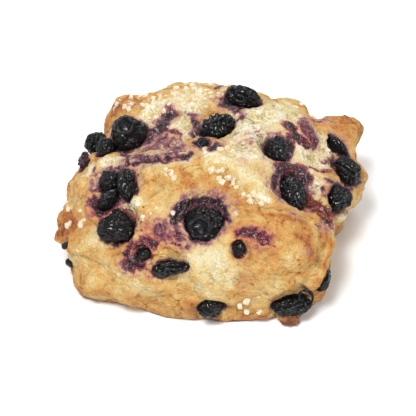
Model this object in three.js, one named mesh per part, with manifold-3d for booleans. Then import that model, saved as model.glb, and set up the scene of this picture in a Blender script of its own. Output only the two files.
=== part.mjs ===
// A baked blueberry scone: one lump of dough with whole berries seated in it and coarse sugar stuck on top.
// Millimetres, +Z up, +X to the right and +Y to the back. The origin is the middle of the flat underside.

import * as THREE from "three";
import { mergeVertices } from "three/addons/utils/BufferGeometryUtils.js";
import Module from "manifold-3d";

// ---------------------------------------------------------------- driving dimensions

const HALF_LENGTH = 47; // left to right, before the lumps are added
const HALF_DEPTH = 40; // front to back
const PLAN_CORNER = 2.8; // 2 is an ellipse, higher is squarer
const PLAN_TURN = -11; // degrees that the square is turned about Z
const CORE_HEIGHT = 15; // height of the point that all sizes are measured from
const DOME_HEIGHT = 23; // from that point to the top
const DOME_CORNER = 2.6;
const UNDER_DEPTH = 28; // how far the walls would close in under the table, so they tuck in a little
const UNDER_CORNER = 3;
const DOUGH_DETAIL = 15; // each face of the icosahedron is cut (detail + 1) squared times

const PIT_DEPTH = 1.3; // the dough sinks in round a berry
const PIT_REACH = 1.25; // in berry half-lengths
const RIM_RISE = 0.7; // and swells beyond that
const RIM_REACH = 1.75;
const RIM_WIDTH = 0.4;

const SEAT_DETAIL = 1; // faces of a seat are coarser than those of a large berry
const SEAT_GAP = 0.35; // between a berry and the dough round it
const SEAT_SLACK = 1.1; // a coarse seat lies inside its own round outline by this much
const CROWN_RING = 0.5; // radians from the berry's end to the ring of its crown
const CROWN_WIDTH = 0.17;
const CROWN_RISE = 0.07; // shares of the berry's radius
const CROWN_HOLLOW = 0.2;
const DENT_SPREAD = 0.55; // radians
const DENT_DEPTHS = [0.06, 0.2];
const WRINKLE_DEPTH = 0.025;
const SKIN_LOOP = { ring: 2.8, tube: 0.5, at: [4, 3.8, 1.7], turn: 25 };

const CRYSTAL_SIZES = [1.3, 2.4]; // smallest and largest side of a sugar crystal
const CRYSTAL_SUNK = 0.3; // share of a crystal that lies in the dough
const CRYSTAL_CLEARANCE = 1.2; // from a crystal to the nearest berry

const CRUST = new THREE.Color(0.83, 0.62, 0.33);
const BERRY_SKIN = new THREE.Color(0.03, 0.028, 0.04);

const CORE = new THREE.Vector3(0, 0, CORE_HEIGHT);
const UP = new THREE.Vector3(0, 0, 1);
const UNIT = new THREE.Vector3(1, 1, 1);

// ---------------------------------------------------------------- the dough's form

// Soft lumps and hollows. at is a point near the surface, reach is the half-size along, across and up, turn is in
// degrees about Z, and rise is how far the surface moves out, or in where it is negative.
const LUMPS = {
  backLeftCorner: { at: [-32, 30, 26], reach: [8, 8, 9.5], turn: 30, rise: 5.2 },
  leftBackWaist: { at: [-42, 25, 21], reach: [15, 13, 18], turn: 40, rise: -8 },
  backCrest: { at: [2, 34, 32], reach: [20, 12, 14], turn: -5, rise: 3.7 },
  dipBehindLongBerry: { at: [14, 34, 34], reach: [5, 6, 8], turn: 0, rise: -2 },
  backRightBump: { at: [29, 31, 29], reach: [7, 7, 8], turn: 0, rise: 3.6 },
  notchByKnob: { at: [35.4, 27.5, 30.4], reach: [4.6, 6, 9], turn: 0, rise: -6.6 },
  knob: { at: [42, 23.4, 25.8], reach: [9, 10.5, 9], turn: 0, rise: 8.6 },
  gapUnderKnob: { at: [49, 16, 20], reach: [5, 4.5, 8], turn: 0, rise: -2.6 },
  rightBulge: { at: [50, 6, 20], reach: [10, 8, 10], turn: 0, rise: 2.2 },
  rightTuck: { at: [46, -5, 4], reach: [8, 9, 9], turn: 0, rise: -3 },
  rightFrontWaist: { at: [43, -16, 10], reach: [14, 12, 16], turn: 40, rise: -5.5 },
  leftLip: { at: [-48, -15, 17], reach: [8, 7, 5], turn: 70, rise: 2 },
  underLeftLip: { at: [-48.5, -15.5, 8], reach: [8, 6, 5.5], turn: 70, rise: -3.4 },
  leftRollGap: { at: [-48, -4, 21], reach: [7, 6, 7], turn: 0, rise: -2.6 },
  leftShoulderTuck: { at: [-46, -2, 24], reach: [7, 9, 6], turn: 0, rise: -1.2 },
  leftRollBulge: { at: [-46, 6, 19], reach: [6, 6, 7], turn: 0, rise: 0.4 },
  frontLeftFoot: { at: [-40, -27, 4], reach: [16, 10, 12], turn: -50, rise: 4.2 },
  frontLeftTuck: { at: [-33, -34, 0], reach: [10, 7, 6], turn: 0, rise: -2.4 },
  frontLeftBelly: { at: [-20, -37, 8], reach: [24, 12, 16], turn: -10, rise: 2.5 },
  frontFoot: { at: [27, -40, 1], reach: [5, 5, 4], turn: 0, rise: 3 },
  frontRidge: { at: [-2, -9, 37], reach: [28, 11, 16], turn: -6, rise: 3.8 },
  ridgeTop: { at: [12, -10, 38], reach: [11, 8, 12], turn: 20, rise: 1.6 },
  crumbHill: { at: [16, 14, 38], reach: [17, 13, 14], turn: 10, rise: 4.2 },
  juicyValley: { at: [-17, 8, 36], reach: [17, 6.5, 12], turn: 8, rise: -7.5 },
  valleyIsland: { at: [-16, 10, 33], reach: [8, 2.5, 8], turn: 12, rise: 2.2 },
  purplePit: { at: [-13, 18, 36], reach: [5, 3.5, 6], turn: 40, rise: -3 },
  crownPit: { at: [-2, -27, 34], reach: [10, 7, 9], turn: 0, rise: -4.5 },
  shoulder: { at: [25, -30, 31], reach: [17, 8, 12], turn: -5, rise: 3.6 },
  jamPocket: { at: [34, -16, 33], reach: [12, 7, 12], turn: -12, rise: -4 },
  rightPocket: { at: [41, 3, 30], reach: [9, 9, 10], turn: 20, rise: -3 },
  leftTrough: { at: [-33, -12, 30], reach: [6, 20, 12], turn: 8, rise: -5 },
  leftSaddle: { at: [-34, 11, 29], reach: [6, 6, 7], turn: 0, rise: -1.6 },
  rightArcEnd: { at: [50, 0, 17], reach: [7, 7, 7], turn: 0, rise: 1.4 },
  rightFrontFoot: { at: [37, -27, 2], reach: [6, 7, 6], turn: 0, rise: -1.5 },
};
const LUMP_FIRMNESS = 1.5; // 1 is a bell curve, higher has a flatter top and steeper sides

// Folds, where one sheet of dough lies over the next: it rises on the line's left and drops on its right, seen from
// outside.
const FOLDS = {
  shoulderFlap: {
    line: [[7, -23, 36], [15, -25, 37], [25, -26, 36], [33, -26, 31], [36, -28, 27], [34, -34, 21], [29, -38, 15]],
    edge: 1.0, fade: 8, rise: 1.6, drop: 1.8,
  },
  frontRidgeRim: {
    line: [[-30, -5, 34], [-24, -6, 38], [-19, -7, 40], [-11, -7, 41], [-4, -5, 42], [2, -3, 42]],
    edge: 1.0, fade: 6, rise: 1.2, drop: 2.0,
  },
  rightArcRim: {
    line: [[34, -4, 31], [40, -2, 29], [45, -2, 24], [47, -4, 19]],
    edge: 0.8, fade: 4, rise: 1.5, drop: 1.5,
  },
  leftWallRim: {
    line: [[-36, 8, 30], [-40, -1, 29], [-41, -10, 28], [-39, -18, 28], [-35, -26, 26], [-28, -33, 23], [-20, -38, 20]],
    edge: 1.2, fade: 5, rise: 1.3, drop: 1.6,
  },
  lipEdge: {
    line: [[-49, -12, 13], [-47, -19, 14], [-44, -24, 16], [-39, -29, 18]],
    edge: 1.0, fade: 5, rise: 1.4, drop: 1.4,
  },
  backCrust: {
    line: [[-33, 27, 29], [-26, 20, 34], [-18, 21, 35], [-8, 20, 37]],
    edge: 1.2, fade: 6, rise: 1.2, drop: 1.4,
  },
  backWallLayer: {
    line: [[30, 36, 14], [12, 41, 17], [-8, 41, 15], [-26, 36, 18]],
    edge: 1.1, fade: 6, rise: 1.3, drop: 1.2,
  },
};

// Creases pressed or torn into the surface.
const CREASES = {
  backCrack: { line: [[-24, 13, 37], [-22, 16, 35], [-19, 20, 34], [-16, 20, 36]], wide: 1.3, deep: 1.8 },
  leftRollLow: { line: [[-48, -16, 21], [-44, -19, 23], [-41, -20, 26], [-37, -22, 28]], wide: 1.5, deep: 2 },
  leftRollMiddle: { line: [[-47, -8, 22], [-45, -10, 26], [-41, -11, 29]], wide: 1.3, deep: 1.8 },
  leftRollTop: { line: [[-46, 0, 22], [-42, -1, 27], [-38, -3, 29]], wide: 1.3, deep: 1.6 },
  redTear: { line: [[-26, -35, 22], [-23, -36, 21], [-19, -38, 20]], wide: 1.4, deep: 1.6 },
  knobCrease: { line: [[34, 24, 32], [36, 19, 33], [40, 12, 30], [44, 7, 27]], wide: 1.5, deep: 2 },
  backRightTear: { line: [[40, 26, 12], [33, 33, 16], [29, 35, 24]], wide: 1.5, deep: 1.8 },
  leftWallTear: { line: [[-44, -8, 6], [-46, 4, 9], [-42, 16, 8]], wide: 1.4, deep: 1.5 },
};
const CREASE_SHARPNESS = 1.3;
const STEPS_PER_SPAN = 8; // of the curve through each line's points

// All-over unevenness: waves of a typical length and height, drawn from a seed.
const RELIEF = [
  { seed: 3, length: 22, height: 0.9 },
  { seed: 5, length: 11, height: 0.7 },
];
const WAVES_PER_RELIEF = 7;

// ---------------------------------------------------------------- berries, crumbs and sugar

// at is near the surface where the berry sits, size is its length, width and thickness, turn is in degrees about the
// outward direction, and proud is how far its middle lies outside the dough. It narrows to its +X end by taper.
// facing is the way its thickness points where that isn't straight out of the dough.
const BERRIES = {
  berry_crown: { at: [-2.4, -30.4, 32.6], size: [14.2, 12.6, 10.5], turn: 0, proud: -1.2, facing: [-0.22, -0.68, 0.7], crown: true },
  berry_top: { at: [2.3, 9, 38.2], size: [12.8, 10, 9.6], turn: 12, proud: 0.2, crown: true },
  berry_top_small: { at: [-3, 0, 40], size: [5.6, 4.6, 4.2], turn: 70, proud: -0.6 },
  berry_back_long: { at: [11.3, 23.9, 39.9], size: [12.4, 8, 7.6], turn: -30, proud: 0.1, taper: 0.2 },
  berry_left_rear: { at: [-22.9, 10.2, 31.2], size: [12.8, 11.8, 10.8], turn: 30, proud: 0.8, crown: true },
  berry_left_edge: { at: [-37.2, 13.4, 27.2], size: [8.6, 8.2, 8], turn: 0, proud: 1.2 },
  berry_left_notch: { at: [-33.2, 7.9, 30.1], size: [6.8, 7.2, 6.6], turn: 0, proud: 0.5 },
  berry_left_mid: { at: [-30.5, -8.3, 30.9], size: [7.6, 8.2, 7.6], turn: 0, proud: 0.6, crown: true },
  berry_left_inner: { at: [-24.7, -12.4, 34], size: [11.4, 5.7, 6], turn: 80, proud: 0 },
  berry_left_small: { at: [-32, -15.5, 30.4], size: [9.4, 5.2, 6], turn: 34, proud: 0.2 },
  berry_left_front: { at: [-31.9, -27.2, 28.8], size: [11.8, 12.4, 9.2], turn: 86, proud: 0.3, taper: 0.42 },
  berry_flap: { at: [-11.8, -38.7, 22.3], size: [14, 4.7, 4.6], turn: 10, proud: -0.9, taper: 0.82 },
  berry_sliver: { at: [-20.9, -34.4, 25.1], size: [5, 3.4, 3.2], turn: 25, proud: -0.6 },
  berry_right_inner: { at: [21.8, -0.6, 38.7], size: [8.2, 9.8, 8.2], turn: 0, proud: 0.3, crown: true },
  berry_right_mid: { at: [30.3, -18.8, 36.6], size: [14.6, 10.2, 8.8], turn: 96, proud: -0.4 },
  berry_right_low: { at: [42.2, -10, 25.7], size: [9.2, 8.4, 7.6], turn: 60, proud: 0.3, crown: true },
  berry_right_high: { at: [42.7, 1.9, 25.7], size: [10.8, 8.8, 8.2], turn: 120, proud: 0.4 },
  berry_right_strip: { at: [43.2, 11.4, 28.8], size: [9.6, 3.8, 4.4], turn: 140, proud: -0.4, taper: -0.3 },
  berry_front_low: { at: [-0.1, -42, 7], size: [9.2, 7, 6.6], turn: 12, proud: -0.2 },
  berry_front_corner: { at: [26, -39.5, 6.2], size: [13.8, 7.4, 7.4], turn: 6, proud: -0.2, loop: true },
  berry_right_wall: { at: [34.4, -32.3, 12.7], size: [9.6, 5.6, 5], turn: 68, proud: -0.1 },
  berry_left_wall: { at: [-45.4, -22.1, 16.6], size: [3.2, 2.6, 3], turn: 0, proud: 0 },
  berry_left_foot: { at: [-47.4, -22.7, 7.6], size: [3.8, 3.2, 3.6], turn: 0, proud: 0 },
  berry_notch: { at: [9, -36, 29], size: [5.4, 3.2, 3.4], turn: 65, proud: -0.7 },
  berry_back_wall: { at: [-10, 41, 20], size: [11, 9.4, 9], turn: 25, proud: 0, crown: true },
  berry_back_low: { at: [17, 41, 9], size: [7.8, 7, 7], turn: -15, proud: 0 },
  berry_knob_side: { at: [46, 14, 9], size: [9, 7.6, 7.4], turn: 40, proud: 0 },
  berry_back_corner: { at: [-34, 30, 11], size: [7.9, 7.2, 7], turn: -30, proud: 0 },
};
const FINE_BERRIES = ["berry_crown", "berry_left_rear", "berry_left_front"];
const SMALL_BERRY = 8; // shorter ones get coarse faces

// Crumbs and flakes that stand out of the dough: middle, and full size.
const CRUMBS = {
  foot: { at: [25.7, -40.9, 1.9], size: [6.8, 5, 4.2] },
  backFlake: { at: [21, 25.6, 34.6], size: [4.6, 3, 3] },
  crestFlap: { at: [-2, 34, 33.6], size: [7, 4, 2.6] },
  rightChunk: { at: [42, -9, 17.5], size: [5, 8, 8] },
  lipTip: { at: [-47.6, -16.6, 14.8], size: [5, 6, 4] },
  ridgeCrumb: { at: [-5, -3, 41], size: [6, 4, 3] },
};

// Patches of coarse sugar: the middle, how far it spreads and how many crystals it has.
const SUGAR_PATCHES = [
  { at: [-20, 29, 34], spread: 10, count: 13 },
  { at: [-3, 26, 38], spread: 8, count: 6 },
  { at: [3, -8, 41], spread: 8, count: 10 },
  { at: [14, -21, 38], spread: 4, count: 5 },
  { at: [-15, -22, 35], spread: 9, count: 4 },
  { at: [-44, -18, 22], spread: 9, count: 5 },
  { at: [10, -42, 8], spread: 9, count: 3 },
  { at: [30, 26, 30], spread: 6, count: 3 },
];
const SUGAR_SEED = 41;

// ---------------------------------------------------------------- small tools

// A repeatable stream of numbers from 0 to 1.
function seeded(seed) {
  let state = seed >>> 0;
  return () => {
    state = (state + 0x6d2b79f5) >>> 0;
    let mixed = Math.imul(state ^ (state >>> 15), state | 1);
    mixed = (mixed + Math.imul(mixed ^ (mixed >>> 7), mixed | 61)) ^ mixed;
    return ((mixed ^ (mixed >>> 14)) >>> 0) / 4294967296;
  };
}

// A direction drawn evenly over the sphere.
function randomDirection(draw) {
  const z = 2 * draw() - 1;
  const angle = 2 * Math.PI * draw();
  const ring = Math.sqrt(1 - z * z);
  return new THREE.Vector3(ring * Math.cos(angle), ring * Math.sin(angle), z);
}

function makeWaves({ seed, length, height }) {
  const draw = seeded(seed);
  const level = height / Math.sqrt(2 * WAVES_PER_RELIEF);
  return Array.from({ length: WAVES_PER_RELIEF }, () => ({
    along: randomDirection(draw).multiplyScalar((2 * Math.PI * (0.7 + 0.6 * draw())) / length),
    phase: 2 * Math.PI * draw(),
    level,
  }));
}

function curveThrough(points) {
  const curve = new THREE.CatmullRomCurve3(points.map((p) => new THREE.Vector3(...p)), false, "catmullrom", 0.5);
  return curve.getPoints((points.length - 1) * STEPS_PER_SPAN);
}

// Where a point is, seen from a line: its distance, how far it is to the line's left, and its share of the line.
function placeByLine(point, line) {
  const spans = line.length - 1;
  const nearest = { distance: Infinity, side: 0, share: 0 };
  const span = new THREE.Vector3();
  const offset = new THREE.Vector3();
  for (let i = 0; i < spans; i++) {
    span.subVectors(line[i + 1], line[i]);
    offset.subVectors(point, line[i]);
    const share = THREE.MathUtils.clamp(offset.dot(span) / span.lengthSq(), 0, 1);
    offset.addScaledVector(span, -share);
    if (offset.length() < nearest.distance) {
      const left = new THREE.Vector3().subVectors(line[i], CORE).cross(span).normalize();
      nearest.distance = offset.length();
      nearest.side = offset.dot(left);
      nearest.share = (i + share) / spans;
    }
  }
  return nearest;
}

// 1 along a line, falling to 0 at its ends.
const endFade = (share) => Math.sqrt(Math.max(0, Math.sin(Math.PI * share)));

const directionTo = (at) => new THREE.Vector3(...at).sub(CORE).normalize();

// ---------------------------------------------------------------- the dough's surface

const LUMP_LIST = Object.values(LUMPS);
const FOLD_LIST = Object.values(FOLDS).map((fold) => ({ ...fold, curve: curveThrough(fold.line) }));
const CREASE_LIST = Object.values(CREASES).map((crease) => ({ ...crease, curve: curveThrough(crease.line) }));
const WAVES = RELIEF.flatMap(makeWaves);

// Distance from the core to the plain rounded block, in a direction of length 1.
function blockRadius(direction) {
  const flat = direction.clone().applyAxisAngle(UP, -THREE.MathUtils.degToRad(PLAN_TURN));
  const along = Math.abs(flat.x / HALF_LENGTH) ** PLAN_CORNER;
  const across = Math.abs(flat.y / HALF_DEPTH) ** PLAN_CORNER;
  const [height, corner] = flat.z > 0 ? [DOME_HEIGHT, DOME_CORNER] : [UNDER_DEPTH, UNDER_CORNER];
  return ((along + across) ** (corner / PLAN_CORNER) + Math.abs(flat.z / height) ** corner) ** (-1 / corner);
}

function lumpRise(point, { at, reach, turn, rise }) {
  const angle = THREE.MathUtils.degToRad(turn);
  const [x, y, z] = [point.x - at[0], point.y - at[1], point.z - at[2]];
  const along = (x * Math.cos(angle) + y * Math.sin(angle)) / reach[0];
  const across = (y * Math.cos(angle) - x * Math.sin(angle)) / reach[1];
  return rise * Math.exp(-((along ** 2 + across ** 2 + (z / reach[2]) ** 2) ** LUMP_FIRMNESS));
}

function foldRise(point, { curve, edge, fade, rise, drop }) {
  const { distance, side, share } = placeByLine(point, curve);
  const step = 1 / (1 + Math.exp((-4 * side) / edge));
  return endFade(share) * Math.exp(-((distance / fade) ** 1.5)) * (rise * step - drop * (1 - step));
}

function creaseRise(point, { curve, wide, deep }) {
  const { distance, share } = placeByLine(point, curve);
  return -deep * endFade(share) * Math.exp(-((distance / wide) ** CREASE_SHARPNESS));
}

// The point of the dough's surface in a direction from the core, before the berries press into it.
function plainSurface(direction) {
  const radius = blockRadius(direction);
  const point = direction.clone().multiplyScalar(radius).add(CORE);
  let rise = 0;
  for (const lump of LUMP_LIST) rise += lumpRise(point, lump);
  for (const fold of FOLD_LIST) rise += foldRise(point, fold);
  for (const crease of CREASE_LIST) rise += creaseRise(point, crease);
  for (const wave of WAVES) rise += wave.level * Math.sin(point.dot(wave.along) + wave.phase);
  return direction.clone().multiplyScalar(radius + rise).add(CORE);
}

// The way that the plain surface faces, at the point in the direction of at.
function outwardAt(at) {
  const direction = directionTo(at);
  const reach = 0.03;
  const side = new THREE.Vector3(-direction.y, direction.x, 0).normalize();
  const rise = new THREE.Vector3().crossVectors(direction, side);
  const near = (axis, sign) => plainSurface(direction.clone().addScaledVector(axis, sign * reach).normalize());
  const across = near(side, 1).sub(near(side, -1));
  const upward = near(rise, 1).sub(near(rise, -1));
  return across.cross(upward).normalize();
}

// Each berry's middle and its way out of the dough.
const SEATS = Object.values(BERRIES).map((berry) => {
  const outward = outwardAt(berry.at);
  const middle = plainSurface(directionTo(berry.at)).addScaledVector(outward, berry.proud);
  return { berry, outward, middle, reach: Math.sqrt(berry.size[0] * berry.size[1]) / 2 };
});

// How far the berries push the surface in close by, and out a little farther off.
function berryRise(point) {
  let rise = 0;
  for (const { middle, reach } of SEATS) {
    const away = point.distanceTo(middle) / reach;
    rise -= PIT_DEPTH * Math.exp(-((away / PIT_REACH) ** 4));
    rise += RIM_RISE * Math.exp(-(((away - RIM_REACH) / RIM_WIDTH) ** 2));
  }
  return rise;
}

function doughSurface(direction) {
  const point = plainSurface(direction);
  return point.addScaledVector(direction, berryRise(point));
}

// An icosahedron cut into even faces, whose every corner is placed by a function of its direction.
function shapedBall(detail, place) {
  const ball = bareGeometry(new THREE.IcosahedronGeometry(1, detail));
  const merged = mergeVertices(ball, 1e-4);
  const corners = merged.attributes.position;
  const corner = new THREE.Vector3();
  for (let i = 0; i < corners.count; i++) {
    corner.fromBufferAttribute(corners, i).normalize();
    corners.setXYZ(i, ...place(corner).toArray());
  }
  return merged;
}

function bareGeometry(geometry) {
  geometry.deleteAttribute("normal");
  geometry.deleteAttribute("uv");
  return geometry;
}

// ---------------------------------------------------------------- joining and cutting

const wasm = await Module();
wasm.setup();

function toSolid(geometry) {
  const merged = mergeVertices(bareGeometry(geometry), 1e-4);
  return new wasm.Manifold(
    new wasm.Mesh({
      numProp: 3,
      vertProperties: new Float32Array(merged.attributes.position.array),
      triVerts: new Uint32Array(merged.index.array),
    }),
  );
}

function toGeometry(solid) {
  const { vertProperties, triVerts } = solid.getMesh();
  return new THREE.BufferGeometry()
    .setAttribute("position", new THREE.BufferAttribute(vertProperties, 3))
    .setIndex(new THREE.BufferAttribute(triVerts, 1));
}

// Cutting can leave a loose crumb beside a seat, which is dropped.
function largestPiece(solid) {
  return solid.decompose().reduce((best, piece) => (piece.volume() > best.volume() ? piece : best));
}

// ---------------------------------------------------------------- berries

// A berry's outline as a share of its half-sizes: seeded dents and wrinkles, and a crown at its outer end.
function berryOutline(berry, seed) {
  const draw = seeded(seed);
  const [shallow, deepest] = DENT_DEPTHS;
  const dents = Array.from({ length: 5 }, () => {
    return { at: randomDirection(draw), deep: shallow + (deepest - shallow) * draw() };
  });
  const wrinkles = Array.from({ length: 4 }, () => {
    return { along: randomDirection(draw).multiplyScalar(4 + 4 * draw()), phase: 2 * Math.PI * draw() };
  });
  return (direction) => {
    let share = 1;
    for (const { at, deep } of dents) share -= deep * Math.exp(-((direction.angleTo(at) / DENT_SPREAD) ** 2));
    for (const { along, phase } of wrinkles) share += WRINKLE_DEPTH * Math.sin(direction.dot(along) + phase);
    return berry.crown ? share + crownRise(direction.angleTo(UP)) : share;
  };
}

function crownRise(fromEnd) {
  const ring = CROWN_RISE * Math.exp(-(((fromEnd - CROWN_RING) / CROWN_WIDTH) ** 2));
  return ring - CROWN_HOLLOW * Math.exp(-((fromEnd / (CROWN_RING * 0.7)) ** 2));
}

function berryGeometry(name, seed, detail, grow = 1, extra = 0) {
  const berry = BERRIES[name];
  const outline = berryOutline(berry, seed);
  const [x, y, z] = berry.size.map((side) => (side / 2) * grow + extra);
  return shapedBall(detail, (direction) => {
    const narrow = 1 - (berry.taper ?? 0) * direction.x;
    const scale = new THREE.Vector3(x, y * narrow, z * Math.sqrt(narrow));
    return direction.clone().multiply(scale).multiplyScalar(outline(direction));
  });
}

// The torn skin that stands off one berry as a loop.
function skinLoop(extra = 0) {
  const { ring, tube, at, turn } = SKIN_LOOP;
  const loop = new THREE.TorusGeometry(ring, tube + extra, 5, 12);
  return toSolid(loop.scale(0.8, 1.1, 1).rotateZ(THREE.MathUtils.degToRad(turn)).translate(...at));
}

function berryDetail(name) {
  if (FINE_BERRIES.includes(name)) return 3;
  return Math.max(...BERRIES[name].size) < SMALL_BERRY ? 1 : 2;
}

function berrySolid(name, seed) {
  const body = toSolid(berryGeometry(name, seed, berryDetail(name)));
  return BERRIES[name].loop ? body.add(skinLoop()) : body;
}

// What is cut out of the dough for a berry: the same form, a little larger and with coarser faces.
function seatSolid(name, seed) {
  const body = toSolid(berryGeometry(name, seed, SEAT_DETAIL, SEAT_SLACK, SEAT_GAP));
  return BERRIES[name].loop ? body.add(skinLoop(SEAT_GAP)) : body;
}

// Where a berry's middle lies, and how it is turned so that its thickness points out of the dough.
function berryPlace({ berry, outward, middle }) {
  const turn = new THREE.Quaternion().setFromAxisAngle(UP, THREE.MathUtils.degToRad(berry.turn));
  const facing = berry.facing ? new THREE.Vector3(...berry.facing).normalize() : outward;
  const lean = new THREE.Quaternion().setFromUnitVectors(UP, facing);
  return new THREE.Matrix4().compose(middle, lean.multiply(turn), UNIT);
}

// ---------------------------------------------------------------- crumbs, sugar and the dough itself

// Everything under the table, so that the dough gets its flat base.
function underTable() {
  const depth = 2 * CORE_HEIGHT + 40;
  return toSolid(new THREE.BoxGeometry(4 * HALF_LENGTH, 4 * HALF_DEPTH, depth).translate(0, 0, -depth / 2));
}

function crumbSolid({ at, size }, seed) {
  const outline = berryOutline({}, 100 + seed);
  const half = new THREE.Vector3(...size).multiplyScalar(0.5);
  const crumb = shapedBall(1, (direction) => direction.clone().multiply(half).multiplyScalar(outline(direction)));
  return toSolid(crumb.translate(...at));
}

// One sugar crystal near a point, or null where it would touch a berry or the table.
function crystalSolid(at, draw) {
  const [least, most] = CRYSTAL_SIZES;
  const size = [0, 1, 2].map(() => least + (most - least) * draw());
  const spin = new THREE.Quaternion().setFromEuler(new THREE.Euler(...[0, 1, 2].map(() => Math.PI * draw())));
  const middle = doughSurface(directionTo(at)).addScaledVector(outwardAt(at), size[2] * (0.5 - CRYSTAL_SUNK));
  const clearance = size[0] + CRYSTAL_CLEARANCE;
  const nearBerry = SEATS.some((seat) => seat.middle.distanceTo(middle) < Math.max(...seat.berry.size) / 2 + clearance);
  if (nearBerry || middle.z < 2 * most) return null;
  return toSolid(new THREE.BoxGeometry(...size).applyMatrix4(new THREE.Matrix4().compose(middle, spin, UNIT)));
}

function sugarSolids() {
  const draw = seeded(SUGAR_SEED);
  return SUGAR_PATCHES.flatMap(({ at, spread, count }) =>
    Array.from({ length: count }, () => {
      const offset = randomDirection(draw).multiplyScalar(spread * Math.sqrt(draw()));
      return crystalSolid(offset.add(new THREE.Vector3(...at)).toArray(), draw);
    }).filter((crystal) => crystal !== null),
  );
}

function doughSolid() {
  let dough = toSolid(shapedBall(DOUGH_DETAIL, doughSurface));
  Object.values(CRUMBS).forEach((crumb, index) => {
    dough = dough.add(crumbSolid(crumb, index));
  });
  dough = dough.subtract(underTable());
  for (const crystal of sugarSolids()) dough = dough.add(crystal);
  Object.keys(BERRIES).forEach((name, index) => {
    dough = dough.subtract(seatSolid(name, index + 1).transform(berryPlace(SEATS[index]).elements));
  });
  return largestPiece(dough);
}

// ---------------------------------------------------------------- the scone

const crust = new THREE.MeshStandardMaterial({ color: CRUST, roughness: 0.75, metalness: 0 });
const berrySkin = new THREE.MeshStandardMaterial({ color: BERRY_SKIN, roughness: 0.4, metalness: 0 });

const scone = new THREE.Group();

const dough = new THREE.Mesh(toGeometry(doughSolid()), crust);
dough.name = "dough";
scone.add(dough);

Object.keys(BERRIES).forEach((name, index) => {
  const berry = new THREE.Mesh(toGeometry(berrySolid(name, index + 1)), berrySkin);
  berry.name = name;
  berry.applyMatrix4(berryPlace(SEATS[index]));
  scone.add(berry);
});

export default scone;
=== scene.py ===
"""A baked blueberry scone, dressed for its picture.

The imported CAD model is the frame. The dough is modelled again in finer detail over the same form, each berry
is refined from its own solid, and the sugar and a lump of cooked juice are made on the dough. Lengths in the
tables are millimetres, and spots are pixels of the 416 by 416 picture, counted from its upper left corner.
"""

import bisect
import logging
import math
from dataclasses import dataclass
from enum import Enum
from typing import Iterable, Sequence

import bmesh
import bpy
import numpy as np
from mathutils import Euler, Matrix, Vector, noise
from mathutils.bvhtree import BVHTree


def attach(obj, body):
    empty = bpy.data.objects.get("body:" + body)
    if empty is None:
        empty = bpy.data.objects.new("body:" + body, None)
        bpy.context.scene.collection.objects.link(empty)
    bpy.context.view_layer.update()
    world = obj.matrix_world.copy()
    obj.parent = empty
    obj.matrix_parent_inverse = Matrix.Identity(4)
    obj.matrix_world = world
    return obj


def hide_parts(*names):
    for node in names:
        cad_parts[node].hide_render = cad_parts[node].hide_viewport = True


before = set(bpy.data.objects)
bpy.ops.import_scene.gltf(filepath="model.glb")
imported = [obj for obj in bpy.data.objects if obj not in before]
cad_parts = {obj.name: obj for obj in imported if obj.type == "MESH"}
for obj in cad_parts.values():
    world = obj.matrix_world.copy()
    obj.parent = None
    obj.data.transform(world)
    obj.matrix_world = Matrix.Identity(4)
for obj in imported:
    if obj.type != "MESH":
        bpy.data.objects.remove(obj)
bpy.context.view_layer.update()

LOG = logging.getLogger("scone")
MM = 0.001
PICTURE_SIDE = 416
PIXEL = 0.33  # what one pixel spans on the scone, in millimetres
Point = tuple[float, float, float]
Pixel = tuple[float, float]


def srgb(red: int, green: int, blue: int) -> tuple[float, float, float, float]:
    """A colour as seen on a screen, 0 to 255, turned into light."""
    shares = (value / 255 for value in (red, green, blue))
    return (*(s / 12.92 if s <= 0.04045 else ((s + 0.055) / 1.055) ** 2.4 for s in shares), 1.0)


def smooth(low: float, high: float, value: np.ndarray) -> np.ndarray:
    """A soft step from 0 at low to 1 at high."""
    share = np.clip((value - low) / (high - low), 0, 1)
    return share * share * (3 - 2 * share)


def unit(vectors: np.ndarray) -> np.ndarray:
    """The same directions with length 1."""
    return vectors / np.linalg.norm(vectors, axis=-1, keepdims=True)


# ---------------------------------------------------------------- the picture


@dataclass(frozen=True)
class View:
    """The camera: what it looks at, from how far and how high, in metres, and its lens in millimetres."""

    aim: Point = (-0.0007, 0.0, 0.0112)
    distance: float = 0.75
    elevation: float = 45.0
    lens: float = 196.7
    film: float = 36.0

    @property
    def back(self) -> Vector:
        """The way from the scone to the camera."""
        angle = math.radians(self.elevation)
        return Vector((0, -math.cos(angle), math.sin(angle)))

    @property
    def eye(self) -> Vector:
        """Where the camera stands."""
        return Vector(self.aim) + self.back * self.distance

    def ray(self, spot: Pixel) -> Vector:
        """The way from the camera through a pixel of the picture.

        Args:
            spot: The pixel.

        Returns:
            The direction.
        """
        across, down = ((value / PICTURE_SIDE - 0.5) * self.film / self.lens for value in spot)
        right = Vector((1, 0, 0))
        return (right * across + right.cross(self.back) * down - self.back).normalized()


class Sighting:
    """Finds the places on the dough that the picture's pixels show."""

    STEP_IN, MOST_STEPS = 0.012, 12

    def __init__(self, view: View, dough: bpy.types.Mesh) -> None:
        """Gathers the dough's faces.

        Args:
            view: The camera.
            dough: The dough's mesh, in place.
        """
        self.view = view
        self.tree = BVHTree.FromPolygons(mesh_points(dough).tolist(), four_corners(dough).tolist())

    def place(self, spot: Pixel) -> np.ndarray:
        """The place that a pixel shows. From a pixel just off the dough it steps in towards the middle.

        Args:
            spot: The pixel, counted from the picture's upper left corner.

        Returns:
            The place in millimetres.
        """
        middle = PICTURE_SIDE / 2
        for step in range(self.MOST_STEPS):
            kept = 1 - self.STEP_IN * step
            seen = tuple(middle + (value - middle) * kept for value in spot)
            place = self.tree.ray_cast(self.view.eye / MM, self.view.ray(seen))[0]
            if place is not None:
                return np.array(place)
        raise ValueError(f"no dough is seen at {spot}")

    def line(self, spots: Sequence[Pixel]) -> np.ndarray:
        """The places that some pixels show."""
        return np.array([self.place(spot) for spot in spots])


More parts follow.
